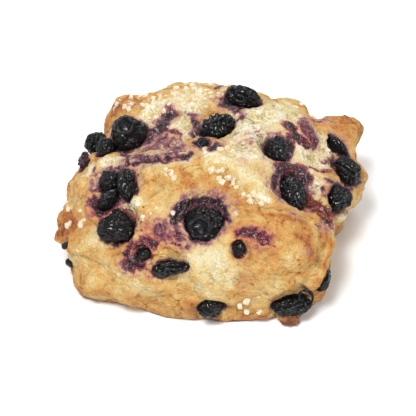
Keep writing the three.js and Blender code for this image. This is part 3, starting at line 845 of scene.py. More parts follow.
        "streak_magenta": Dab(0.8, 3.2, ((303, 141), (307, 143))),
        "streak_pink": Dab(0.56, 5, ((305, 121), (309, 128), (312, 136))),
        "streak_pink_dark": Dab(0.76, 2.4, ((308, 128), (311, 134))),
        "streak_wash": Dab(0.14, 9, ((300, 126), (310, 134))),
        "right_lilac": Dab(0.14, 6, ((310, 150), (316, 156))),
        "right_pink": Dab(0.66, 2.8, ((309, 168), (316, 170), (324, 171), (330, 170))),
        "right_pink_soft": Dab(0.6, 4, ((324, 163), (329, 160))),
        "right_line": Dab(0.85, 1.2, ((315, 170), (322, 172))),
        "between": Dab(0.84, 6, ((278, 167), (288, 167), (294, 165))),
        "mid_right_red": Dab(0.9, 5.5, ((302, 172), (306, 177), (303, 181))),
        "mid_right_red_top": Dab(0.74, 3, ((298, 168),)),
        "mid_left_purple": Dab(0.84, 4, ((279, 172), (276, 178), (274, 186))),
        "mid_left_wash": Dab(0.34, 8, ((270, 180), (274, 190))),
        "mid_low": Dab(0.74, 3.4, ((281, 196), (286, 201))),
        "inner_left": Dab(0.22, 4.5, ((262, 150), (264, 158))),
        "inner_low_left": Dab(0.22, 4.5, ((268, 166), (273, 170))),
        "inner_top": Dab(0.34, 3.6, ((262, 137), (270, 134), (278, 134))),
        "under_arc": Dab(0.75, 2.4, ((326, 181), (332, 183))),
        "low_halo_left": Dab(0.6, 3, ((324, 190), (325, 197))),
        "hill_pink": Dab(0.16, 4, ((244, 134), (250, 133))),
        "hill_pink_low": Dab(0.2, 4, ((240, 157), (247, 160))),
        "hill_fleck": Dab(0.3, 4, ((246, 113),)),
        "arc_stain": Dab(0.74, 4.6, ((241, 233), (250, 232), (260, 236), (268, 239))),
        "arc_dark": Dab(0.95, 1.4, ((263, 243), (266, 243), (275, 246))),
        "arc_wash": Dab(0.22, 7, ((252, 240), (262, 246))),
        "notch_streak": Dab(0.14, 8, ((240, 262), (242, 275), (244, 285))),
        "arc_under": Dab(0.5, 3, ((351, 188),)),
        "arc_under_right": Dab(0.4, 3, ((359, 182),)),
        "wall_top": Dab(0.55, 4, ((329, 225),)),
        "wall_top_edge": Dab(0.6, 2, ((338, 228),)),
        "jam_dark": Dab(0.92, 3.6, ((332, 215),)),
        "jam_pink": Dab(0.6, 3, ((332, 206),)),
        "top_under": Dab(0.8, 3, ((205, 146), (212, 146))),
        "top_wash": Dab(0.2, 8, ((226, 140), (214, 150))),
        "sliver_side": Dab(0.55, 2, ((153, 250),)),
        "black_dot": Dab(1, 1.1, ((108, 266),)),
        "notch_side": Dab(0.55, 3, ((238, 244),)),
        "front_corner_wash": Dab(0.16, 6, ((250, 300), (243, 306))),
        "wall_top_wash": Dab(0.34, 7, ((329, 226), (322, 222))),
        "lip_tinge": Dab(0.2, 6, ((82, 222),)),
        "halo_top_right": Dab(0.8, 3, ((240, 108), (243, 117))),
        "halo_top_low": Dab(0.8, 3.4, ((203, 143), (200, 147))),
        "jelly_edge": Dab(0.98, 2, ((79, 158), (78, 165))),
        "flap_shadow": Dab(0.5, 2, ((150, 267), (154, 262))),
        "lilac_bit": Dab(0.3, 1.5, ((162, 278),)),
        "foot_dark": Dab(0.6, 1.6, ((291, 318),)),
        "left_cluster_low": Dab(0.85, 3, ((120, 153), (128, 154))),
        "left_cluster_right": Dab(0.8, 3, ((149, 143), (150, 133))),
        "valley_wash": Dab(0.5, 12, ((150, 150), (165, 142), (178, 150))),
        "valley_wash_left": Dab(0.34, 8, ((125, 160), (138, 158))),
        "streak_core": Dab(0.95, 5.5, ((289, 126), (293, 132), (297, 138))),
        "jam_wash": Dab(0.88, 10, ((305, 204), (316, 212), (326, 218))),
        "crown_left_wash": Dab(0.4, 7, ((176, 232), (168, 238))),
        "crown_left_dark": Dab(0.92, 3.5, ((178, 212), (176, 222), (181, 205))),
        "streak_side": Dab(0.66, 7, ((307, 126), (310, 134), (313, 141))),
        "streak_tip": Dab(0.9, 3, ((309, 144), (305, 147))),
        "right_lilac_wash": Dab(0.12, 9, ((318, 156), (322, 164))),
        "inner_lilac": Dab(0.14, 8, ((262, 136), (268, 130), (258, 146))),
        "crown_ring": Dab(
            0.9,
            3.8,
            ((180, 220), (182, 211), (190, 204), (203, 200), (217, 203), (225, 210), (228, 219)),
        ),
        "crown_ring_right": Dab(0.6, 2.6, ((229, 214), (228, 221))),
        "top_low_stain": Dab(0.92, 4.5, ((196, 136), (202, 143), (212, 148), (219, 145))),
        "top_left_stain": Dab(0.66, 4, ((196, 125), (193, 133))),
        "back_long_low": Dab(0.9, 4.5, ((224, 100), (230, 107), (238, 110))),
        "inner_right_stain": Dab(0.9, 3.6, ((287, 140), (290, 150), (287, 160))),
        "mid_top_stain": Dab(0.72, 5, ((284, 165), (292, 166), (300, 170))),
        "hill_grey": Dab(0.13, 12, ((250, 146), (240, 138))),
        "speckled_core": Dab(0.5, 6, ((165, 236), (176, 240))),
        "streak_join": Dab(0.62, 4.5, ((301, 126), (304, 133))),
        "left_green_wash": Dab(0.2, 5, ((141, 165), (140, 178))),
        "front_line": Dab(0.5, 1, ((240, 236), (236, 244))),
        "speckled_dots": Dab(
            0.8,
            1.2,
            ((166, 228), (171, 233), (163, 238), (176, 238), (170, 245), (181, 246)),
        ),
        "crumb_thread_right": Dab(0.34, 2, ((262, 126), (256, 131), (262, 138))),
        "crumb_thread_left": Dab(0.3, 2, ((240, 144), (248, 141), (252, 150))),
        "speckled_more_dots": Dab(
            0.9,
            1,
            ((160, 225), (164, 228), (169, 225), (173, 228), (168, 236), (173, 235), (179, 233),
             (166, 243), (173, 246), (177, 243), (161, 233), (184, 240)),
        ),
        "tear_fold": Dab(0.98, 1.6, ((124, 252), (129, 255), (134, 260), (139, 264))),
        "arc_spots": Dab(0.9, 1.2, ((241, 236), (248, 234), (256, 238), (264, 242), (272, 243))),
    },
    Tint.JAM: {
        "jam": Dab(1, 9.5, ((304, 203), (314, 208), (323, 214))),
        "jam_low": Dab(1, 7, ((322, 218), (330, 222))),
        "tear": Dab(0.3, 3, ((127, 247), (134, 250))),
        "arc": Dab(0.14, 3.4, ((242, 232), (250, 232), (259, 236), (266, 239))),
    },
    Tint.GREEN: {
        "crack": Dab(1, 1.6, ((143, 122), (150, 119), (154, 116), (159, 113))),
        "shelf": Dab(0.5, 5, ((150, 124),)),
        "behind_top": Dab(0.7, 6, ((186, 112), (194, 118))),
        "behind_low": Dab(0.6, 6, ((184, 130), (190, 138))),
        "valley": Dab(0.9, 5, ((150, 152), (157, 156))),
        "valley_right": Dab(0.7, 4, ((176, 146), (186, 150))),
        "left_teal": Dab(0.8, 3, ((129, 160),)),
        "dimple": Dab(0.8, 2.4, ((157, 184),)),
        "hill": Dab(0.8, 12, ((252, 110), (250, 135))),
        "hill_spots": Dab(1, 3, ((255, 135), (243, 147), (247, 152), (253, 147))),
        "hill_edge": Dab(0.8, 5, ((256, 102), (268, 106))),
        "hill_mid": Dab(0.8, 8, ((243, 148), (262, 150))),
        "right": Dab(0.7, 8, ((322, 140), (328, 150))),
        "right_edge": Dab(0.8, 4, ((325, 146), (331, 156))),
        "right_low": Dab(0.5, 5, ((318, 190),)),
        "crevice": Dab(1, 5, ((173, 216), (178, 208), (184, 204))),
        "inner": Dab(0.6, 3, ((142, 183),)),
        "pad": Dab(0.8, 2.4, ((111, 164),)),
        "mid": Dab(0.7, 3, ((273, 188),)),
        "crown_left": Dab(1, 4, ((174, 208), (176, 202), (181, 199))),
        "hill_left": Dab(0.9, 7, ((236, 128), (232, 140))),
        "top_left": Dab(0.9, 5, ((192, 124), (189, 136))),
        "left_side": Dab(0.8, 4, ((138, 168), (140, 178))),
        "hill_spots_right": Dab(1, 3, ((262, 128), (258, 140), (240, 130), (246, 120), (268, 132))),
        "crown_left_low": Dab(1, 3.4, ((172, 214), (175, 207))),
        "valley_spots": Dab(1, 3, ((144, 156), (172, 150), (182, 144), (132, 160))),
    },
    Tint.RED: {
        "left_red": Dab(1, 11, ((90, 206), (99, 214))),
        "jelly": Dab(1, 6, ((80, 163), (84, 157))),
        "roll": Dab(0.7, 5, ((94, 176),)),
        "red_zone": Dab(1, 14, ((128, 248), (140, 246), (150, 245))),
        "tear": Dab(1, 9, ((127, 256), (134, 266), (146, 268))),
        "corner": Dab(0.8, 6, ((108, 131),)),
        "streak": Dab(1, 9, ((288, 124), (297, 135), (306, 142))),
        "streak_pink": Dab(0.4, 7, ((308, 128),)),
        "between": Dab(0.8, 9, ((284, 166), (300, 172))),
        "mid_right": Dab(1, 8, ((304, 176),)),
        "right_pink": Dab(0.8, 6, ((314, 169), (325, 170), (331, 168))),
        "blush": Dab(0.9, 9, ((137, 215), (140, 232))),
        "hill_pink": Dab(0.9, 6, ((244, 134), (242, 158))),
        "arc": Dab(1, 12, ((241, 236), (258, 234), (275, 243))),
        "notch_streak": Dab(1, 10, ((240, 262), (244, 285))),
        "jam": Dab(0.9, 11, ((307, 207), (318, 212), (332, 218))),
        "wall_top": Dab(0.5, 6, ((329, 225),)),
        "dots": Dab(1, 6, ((249, 304), (238, 303))),
        "dot_above": Dab(1, 3, ((142, 206),)),
        "specks": Dab(1, 6, ((255, 268), (262, 262), (290, 268))),
        "inner_side": Dab(0.7, 3, ((136, 175), (137, 186), (136, 193))),
        "flap_pink": Dab(0.8, 5, ((149, 280),)),
        "speckled": Dab(0.55, 8, ((162, 236), (172, 244))),
        "tips": Dab(1, 5, ((118, 208), (125, 214))),
        "island_rim": Dab(0.6, 4, ((168, 132), (178, 134))),
        "pit_pink": Dab(0.8, 5, ((174, 112),)),
        "streak_core": Dab(1, 12, ((289, 127), (296, 136), (304, 142))),
    },
    Tint.FROST: {
        "back_left": Dab(1, 9, ((118, 104), (128, 103), (140, 99))),
        "back_mid": Dab(1, 11, ((152, 104), (165, 98), (180, 95))),
        "back_right": Dab(1, 10, ((192, 92), (204, 94), (216, 92))),
        "back_low": Dab(0.8, 8, ((172, 108), (190, 102))),
        "ridge": Dab(0.9, 7, ((203, 150), (208, 160))),
        "ridge_mid": Dab(0.8, 7, ((213, 172), (222, 176), (230, 180))),
        "ridge_right": Dab(0.9, 6, ((244, 196), (256, 198), (264, 200))),
        "ridge_left": Dab(0.8, 5, ((166, 171), (172, 176))),
        "lip": Dab(0.8, 5, ((67, 203), (70, 212))),
        "bump": Dab(0.9, 5, ((292, 106),)),
    },
}


# ---------------------------------------------------------------- shader maths


class Signal:
    """A number that varies over a surface. Python's operators on it add Math nodes."""

    def __init__(self, paint: "Paint", socket: bpy.types.NodeSocket) -> None:
        """Wraps an output socket."""
        self.paint = paint
        self.socket = socket

    def apply(self, operation: str, first: "Signal | float", second: "Signal | float") -> "Signal":
        """Adds one Math node."""
        node = self.paint.add("ShaderNodeMath", {"operation": operation}, {0: first, 1: second})
        return Signal(self.paint, node.outputs[0])

    def __add__(self, other: "Signal | float") -> "Signal":
        """Adds."""
        return self.apply("ADD", self, other)

    __radd__ = __add__

    def __sub__(self, other: "Signal | float") -> "Signal":
        """Takes away."""
        return self.apply("SUBTRACT", self, other)

    def __rsub__(self, other: float) -> "Signal":
        """Takes this from a number."""
        return self.apply("SUBTRACT", other, self)

    def __mul__(self, other: "Signal | float") -> "Signal":
        """Multiplies."""
        return self.apply("MULTIPLY", self, other)

    __rmul__ = __mul__

    def root(self) -> "Signal":
        """The square root."""
        return self.apply("POWER", self, 0.5)

    def maximum(self, other: "Signal | float") -> "Signal":
        """The larger of two."""
        return self.apply("MAXIMUM", self, other)

    def step(self, low: float, high: float) -> "Signal":
        """A soft step.

        Args:
            low: Where it leaves 0.
            high: Where it reaches 1.

        Returns:
            The step.
        """
        settings = {"interpolation_type": "SMOOTHSTEP"}
        node = self.paint.add("ShaderNodeMapRange", settings, {0: self, 1: low, 2: high})
        return Signal(self.paint, node.outputs[0])


class Paint:
    """A material under construction."""

    GRAIN_GAIN = 2.4

    def __init__(self, name: str) -> None:
        """Starts an empty material with one Principled shader.

        Args:
            name: The material's name.
        """
        self.material = bpy.data.materials.new(name)
        self.material.use_nodes = True
        self.tree = self.material.node_tree
        self.shader = self.tree.nodes["Principled BSDF"]
        self.place = self.add("ShaderNodeTexCoord", {}, {}).outputs["Object"]

    def add(self, kind: str, settings: dict, inputs: dict) -> bpy.types.Node:
        """Adds a node.

        Args:
            kind: The node's type.
            settings: Its properties, or "stops" for a ramp's places and colours.
            inputs: Values, sockets or signals for its sockets, by name or number.

        Returns:
            The node.
        """
        node = self.tree.nodes.new(kind)
        for name, value in settings.items():
            if name == "stops":
                ramp = node.color_ramp
                while len(ramp.elements) < len(value):
                    ramp.elements.new(1)
                for element, (place, colour) in zip(ramp.elements, value):
                    element.position, element.color = place, colour
            else:
                setattr(node, name, value)
        for key, value in inputs.items():
            self.feed(node.inputs[key], value)
        return node

    def feed(self, socket: bpy.types.NodeSocket, value: object) -> None:
        """Links a socket or signal to an input, or sets its value.

        Args:
            socket: The input.
            value: What it is fed.
        """
        if isinstance(value, Signal):
            value = value.socket
        if isinstance(value, bpy.types.NodeSocket):
            self.tree.links.new(value, socket)
        else:
            socket.default_value = value

    def attribute(self, name: str) -> Signal:
        """A number kept on the mesh's points."""
        return Signal(self, self.add("ShaderNodeAttribute", {"attribute_name": name}, {}).outputs["Fac"])

    def grain(self, size: float, detail: float = 2) -> Signal:
        """Unevenness over the surface.

        Args:
            size: The size of its lumps, in millimetres.
            detail: How many finer layers lie on them.

        Returns:
            A number from about -0.5 to 0.5.
        """
        values = {"Vector": self.place, "Scale": 1 / (size * MM), "Detail": detail, "Roughness": 0.55}
        return (Signal(self, self.add("ShaderNodeTexNoise", {}, values).outputs[0]) - 0.5) * self.GRAIN_GAIN

    def cells(self, size: float) -> Signal:
        """The distance to the nearest of scattered points, in shares of their usual spacing."""
        values = {"Vector": self.place, "Scale": 1 / (size * MM)}
        return Signal(self, self.add("ShaderNodeTexVoronoi", {}, values).outputs[0])

    def ramp(self, signal: Signal, stops: Sequence) -> bpy.types.NodeSocket:
        """Colours along a number."""
        return self.add("ShaderNodeValToRGB", {"stops": stops}, {0: signal}).outputs[0]

    def mix(self, share: "Signal | float", low: object, high: object) -> bpy.types.NodeSocket:
        """One colour over another."""
        return self.add("ShaderNodeMix", {"data_type": "RGBA"}, {0: share, 6: low, 7: high}).outputs[2]

    def scale(self, colour: object, amount: Signal) -> bpy.types.NodeSocket:
        """A colour made lighter or darker."""
        return self.add("ShaderNodeVectorMath", {"operation": "SCALE"}, {0: colour, 3: amount}).outputs[0]

    def relief(self, height: Signal, depth: float) -> bpy.types.NodeSocket:
        """Fine relief, of a depth in millimetres where the height goes from 0 to 1."""
        values = {"Height": height, "Distance": depth * MM, "Strength": 1.0}
        return self.add("ShaderNodeBump", {}, values).outputs[0]

    def finish(self, **values: object) -> bpy.types.Material:
        """Feeds the shader.

        Args:
            values: What each socket is fed. An underscore stands for a space in the socket's name.

        Returns:
            The material.
        """
        for name, value in values.items():
            self.feed(self.shader.inputs[name.replace("_", " ")], value)
        return self.material


# ---------------------------------------------------------------- finishes


@dataclass(frozen=True)
class BakedDough:
    """Crust from pale to brown, open crumb, and what the berries stained, with painted shade in the hollows
    and pores and painted highlights on the juice.
    """

    crust: tuple = (
        (0.0, srgb(243, 232, 196)),
        (0.15, srgb(240, 222, 170)),
        (0.30, srgb(234, 204, 140)),
        (0.45, srgb(227, 183, 108)),
        (0.60, srgb(216, 158, 84)),
        (0.75, srgb(199, 126, 62)),
        (0.90, srgb(164, 90, 46)),
        (1.0, srgb(122, 64, 36)),
    )
    crumb: tuple = (
        (0.10, srgb(200, 164, 96)),
        (0.32, srgb(228, 204, 144)),
        (0.56, srgb(240, 226, 182)),
        (0.85, srgb(250, 243, 220)),
    )
    juice: tuple = (
        (0.06, srgb(226, 190, 160)),
        (0.24, srgb(196, 146, 138)),
        (0.41, srgb(146, 86, 98)),
        (0.58, srgb(84, 40, 52)),
        (0.80, srgb(26, 14, 20)),
    )
    red_juice: tuple = (
        (0.06, srgb(228, 176, 136)),
        (0.24, srgb(204, 126, 110)),
        (0.41, srgb(156, 58, 66)),
        (0.58, srgb(96, 20, 36)),
        (0.80, srgb(40, 10, 18)),
    )
    jam: tuple = (
        (0.2, srgb(52, 12, 20)),
        (0.45, srgb(98, 26, 28)),
        (0.65, srgb(146, 52, 32)),
        (0.88, srgb(204, 112, 58)),
    )
    # the darker colour painted into the crumb's pores as shade
    shaded_pore: tuple = srgb(186, 152, 90)
    green: tuple = srgb(88, 104, 96)
    frost: tuple = srgb(253, 243, 222)
    # painted highlights: pale specks on wet juice
    painted_glint: tuple = srgb(206, 180, 180)

    def make(self) -> bpy.types.Material:
        """Builds the material, with each colour laid over those before it.

        Returns:
            The material.
        """
        paint = Paint("baked_dough")
        mottle, fine, speck, dust = (paint.grain(*layer) for layer in ((5, 2), (1.8, 2), (0.8, 2), (0.4, 1)))
        swell = paint.attribute("swell")
        # How far each point stands out: its hollows are painted with shade below, and its bulges are browned
        # as toasted.
        hollow, raised = (0 - swell).maximum(0), swell.maximum(0)
        # The crust, and the open crumb with its pores, which are painted darker as shade.
        toasted = (speck + fine * 0.6).step(0.22, 0.5)
        bake = paint.attribute("bake") + mottle * 0.22 + fine * 0.20 + speck * 0.16 + toasted * 0.08
        # Browner on the bulges, as toasted, and browner in the hollows as painted shade.
        bake = bake + raised * 0.10 + hollow * 0.16
        crumb = (paint.attribute("crumb") + mottle * 0.3 + fine * 0.3).step(0.15, 0.75)
        shaded_pore = (1 - (paint.cells(3.2) + mottle * 0.2 + fine * 0.25).step(0.08, 0.24)) * crumb
        # The crumb's tone varies at random, and it is painted darker in the hollows as shade.
        pale = paint.ramp(fine * 0.4 + speck * 0.35 + mottle * 0.45 + 0.56 - hollow * 0.18, self.crumb)
        colour = paint.mix(crumb, paint.ramp(bake, self.crust), paint.mix(shaded_pore * 0.6, pale, self.shaded_pore))
        # Green-grey threads, and a dusting of fine sugar.
        threads = (paint.grain(1.1, 2) * 0.6 + paint.grain(3.1, 1) * 0.6 + 0.5).step(0.58, 0.82)
        green = paint.attribute("green") * threads
        colour = paint.mix(green * 0.8, colour, self.green)
        dusted = paint.attribute("frost")
        clumps = 1.3 - (paint.cells(2.2) + fine * 0.5) * 1.6 + speck * 0.5
        frost = (dusted * clumps).step(0.45, 0.7)
        colour = paint.mix(frost * 0.75, colour, self.frost)
        # Juice, purple or red, with pale flecks painted as highlights where it is strong.
        stained = paint.attribute("juice")
        rough = mottle * 0.30 + fine * 0.30 + speck * 0.25 + dust * 0.1 - raised * 0.3
        juice = stained + rough * stained.step(0, 0.35) * (1 - stained.step(0.7, 1.0) * 0.7)
        red = (paint.attribute("red") + mottle * 0.5).step(0.1, 0.9)
        stain = paint.mix(red, paint.ramp(juice, self.juice), paint.ramp(juice, self.red_juice))
        colour = paint.mix(juice.step(0.0, 0.4), colour, stain)
        # Painted highlights: pale specks on strong juice, more of them on the raised points.
        painted_glint = (speck + dust * 0.8 + raised * 0.3).step(0.3, 0.6) * juice.step(0.25, 0.6)
        colour = paint.mix(painted_glint * 0.45, colour, self.painted_glint)
        # Lumps of jam.
        jammy = paint.attribute("jam")
        jam = (jammy + (fine + speck) * 0.4 * jammy.step(0, 0.3)).step(0.22, 0.5)
        colour = paint.mix(jam, colour, paint.ramp(speck * 0.7 + fine * 0.4 + 0.5, self.jam))
        # Painted shade in the hollows, less on the crumb, over flecks of lighter and darker tone; gloss on
        # what is wet, and the finest relief.
        light = 0.77 + fine * 0.06 + speck * 0.20 + dust * 0.20 - hollow * (0.25 - crumb * 0.13)
        wet = (juice.step(0.5, 0.85) * 0.7).maximum(jam)
        height = fine * 0.5 + speck * 0.5 + dust * 0.2 - shaded_pore * 0.6
        return paint.finish(
            Base_Color=paint.scale(colour, light),
            Roughness=0.62 - wet * 0.3 - frost * 0.2,
            Coat_Weight=wet * 0.35,
            Coat_Roughness=0.15,
            Specular_IOR_Level=0.3,
            Subsurface_Weight=0.1,
            Subsurface_Radius=(1.0, 0.55, 0.25),
            Subsurface_Scale=0.8 * MM,
            Normal=paint.relief(height, 0.55),
        )


@dataclass(frozen=True)
class BerrySkin:
    """Nearly black, wrinkled and sticky."""

    skin: tuple = (
        (0.30, srgb(4, 4, 6)),
        (0.62, srgb(9, 7, 10)),
        (0.92, srgb(44, 14, 26)),
    )
    dust: tuple = srgb(58, 58, 66)
    name: str = "berry_skin"

    def make(self) -> bpy.types.Material:
        """Builds the material.

        Returns:
            The material.
        """
        paint = Paint(self.name)
        fine, speck = paint.grain(1.2, 2), paint.grain(0.6, 2)
        fold = (0.07 - (fine * fine).root()).maximum(0)
        colour = paint.ramp(paint.grain(3, 2) * 0.6 + 0.42, self.skin)
        colour = paint.mix(paint.attribute("dust") * (fine + 0.6), colour, self.dust)
        return paint.finish(
            Base_Color=colour,
            Roughness=0.48 + speck * 0.3,
            Coat_Weight=0.5 + fine * 0.5,
            Coat_Roughness=0.12,
            Specular_IOR_Level=0.15,
            Normal=paint.relief(speck * 0.7 + paint.grain(0.3, 1) * 0.15 - fold * 7, 0.95),
        )


@dataclass(frozen=True)
class CoarseSugar:
    """Pale crystals that let some light through."""

    tone: tuple = ((0.3, srgb(240, 218, 180)), (0.7, srgb(250, 236, 212)))

    def make(self) -> bpy.types.Material:
        """Builds the material.

        Returns:
            The material.
        """
        paint = Paint("coarse_sugar")
        return paint.finish(
            Base_Color=paint.ramp(paint.grain(2.4, 1) * 0.8 + 0.5, self.tone),
            Roughness=0.35 + paint.grain(0.5, 1) * 0.2,
            Transmission_Weight=0.22,
            IOR=1.4,
            Normal=paint.relief(paint.grain(0.8, 2), 0.25),
        )


# ---------------------------------------------------------------- mesh tools


FRACTAL_DIMENSION, FRACTAL_GAPS = 0.7, 2.1
SEED_STEP = 17.3  # how far apart two seeds' patterns lie, in lumps


def mesh_points(mesh: bpy.types.Mesh, what: str = "co") -> np.ndarray:
    """What a mesh keeps on its points.

    Args:
        mesh: The mesh.
        what: "co" for the places, in millimetres, or "normal".

    Returns:
        One row for each point.
    """
    values = np.zeros(len(mesh.vertices) * 3, np.float32)
    mesh.vertices.foreach_get(what, values)
    return values.reshape(-1, 3).astype(float) / (MM if what == "co" else 1)


def move_points(mesh: bpy.types.Mesh, points: np.ndarray) -> None:
    """Puts a mesh's points at places in millimetres."""
    mesh.vertices.foreach_set("co", (points * MM).astype(np.float32).ravel())
    mesh.update()


def four_corners(mesh: bpy.types.Mesh) -> np.ndarray:
    """The corners of each face, on a mesh of four-sided faces.

    Args:
        mesh: The mesh.

    Returns:
        The numbers of each face's points, one row each.
    """
    corners = np.zeros(len(mesh.loops), np.int32)
    mesh.loops.foreach_get("vertex_index", corners)
    return corners.reshape(-1, 4)


def keep_on_points(mesh: bpy.types.Mesh, name: str, values: np.ndarray) -> None:
    """Keeps a number on each point for the material."""
    mesh.attributes.new(name, "FLOAT", "POINT").data.foreach_set("value", values.astype(np.float32))


def grain(points: np.ndarray, size: float, seed: int = 0) -> np.ndarray:
    """Smooth unevenness from about -1 to 1, with lumps of a size in millimetres."""
    return np.array([noise.noise(place) for place in (points / size + SEED_STEP * seed).tolist()])


def fractal(points: np.ndarray, size: float, octaves: int, seed: int) -> np.ndarray:
    """Craggy unevenness from about -1 to 1, whose largest lumps have a size in millimetres."""
    places = (points / size + SEED_STEP * seed).tolist()
    return np.array([noise.fractal(place, FRACTAL_DIMENSION, FRACTAL_GAPS, octaves) for place in places])


@dataclass(frozen=True)
class Bumps:
    """Smooth unevenness: its height and the size of its lumps in millimetres, and its seed."""

    height: float
    size: float
    seed: int

    def at(self, points: np.ndarray, later: int = 0) -> np.ndarray:
        """The unevenness at some points, from a seed that is later by a number."""
        return self.height * grain(points, self.size, self.seed + later)


@dataclass(frozen=True)
class Crags:
    """Craggy unevenness: its height, the size of its largest lumps, its number of layers and its seed."""

    height: float
    size: float
    octaves: int
    seed: int

    def at(self, points: np.ndarray) -> np.ndarray:
        """The unevenness at some points."""
        return self.height * fractal(points, self.size, self.octaves, self.seed)


def stirred(points: np.ndarray, *layers: Bumps) -> np.ndarray:
    """Points pushed about, so that what is worked out from them has an uneven edge.

    Args:
        points: The points, in millimetres.
        layers: The unevenness, whose seed counts on by one from axis to axis.

    Returns:
        The places that the points are pushed to.
    """
    return points + np.stack([sum(layer.at(points, axis) for layer in layers) for axis in range(3)], axis=1)


def swelling(mesh: bpy.types.Mesh, times: int) -> np.ndarray:
    """How far each point stands out from its surroundings, in millimetres.

    Args:
        mesh: The mesh.
        times: How often the surroundings are evened out, which sets how wide they are.

    Returns:
        A number for each point, below 0 in hollows.
    """
    points = mesh_points(mesh)
    edges = np.zeros(len(mesh.edges) * 2, np.int32)
    mesh.edges.foreach_get("vertices", edges)
    first, second = edges.reshape(-1, 2).T
    count = np.bincount(edges, minlength=len(points))[:, None]
    even = points
    for _ in range(times):
        sums = [
            np.bincount(first, column[second], len(points)) + np.bincount(second, column[first], len(points))
            for column in even.T
        ]
        even = 0.5 * even + 0.5 * np.stack(sums, axis=1) / count
    return ((points - even) * mesh_points(mesh, "normal")).sum(1)


def show(name: str, mesh: bpy.types.Mesh, material: bpy.types.Material) -> bpy.types.Object:
    """Puts a finished mesh in the scene, riding on the scone.

    Args:
        name: The piece's name.
        mesh: Its mesh, in place.
        material: Its finish.

    Returns:
        The piece.
    """
    mesh.polygons.foreach_set("use_smooth", np.ones(len(mesh.polygons), bool))
    mesh.materials.clear()
    mesh.materials.append(material)
    piece = bpy.data.objects.new(name, mesh)
    bpy.context.scene.collection.objects.link(piece)
    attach(piece, "root")
    LOG.info("%s: %d faces", name, len(mesh.polygons))
    return piece


class Skins:
    """All the berries' faces, to search in, in millimetres."""

    def __init__(self, pieces: Sequence[bpy.types.Object]) -> None:
        """Gathers the faces.

        Args:
            pieces: The berries, in the order of their seats.
        """
        corners, faces, self.ends = [], [], []
        for piece in pieces:
            faces += (four_corners(piece.data) + len(corners)).tolist()
            corners += mesh_points(piece.data).tolist()
            self.ends.append(len(faces))
        self.tree = BVHTree.FromPolygons(corners, faces)

    def berry_of(self, face: int) -> int:
        """The number of the berry that a face belongs to."""
        return bisect.bisect_right(self.ends, face)


# ---------------------------------------------------------------- the pieces


@dataclass(frozen=True)
class Flake:
    """A crumb or flake that stands out of the dough."""

    at: Point
    size: Point

    def exit(self, directions: np.ndarray) -> np.ndarray:
        """Where rays from the core leave the flake.

        Args:
            directions: The rays' directions, one row each.

        Returns:
            The distance from the core for each ray, or 0 where it misses the flake.
        """
        half = np.array(self.size) / 2
        start = (CORE - np.array(self.at)) / half
        rays = directions / half
        square = (rays**2).sum(1)
        nearest = -(rays @ start) / square
        passing = np.linalg.norm(start + nearest[:, None] * rays, axis=1)
        ahead = (passing < 1) & (nearest > 0)
        return np.where(ahead, nearest + np.sqrt(np.clip(1 - passing**2, 0, None) / square), 0)


BAKE_HOLD = 0.85  # how far a dab of crust colour takes over from what lies under it


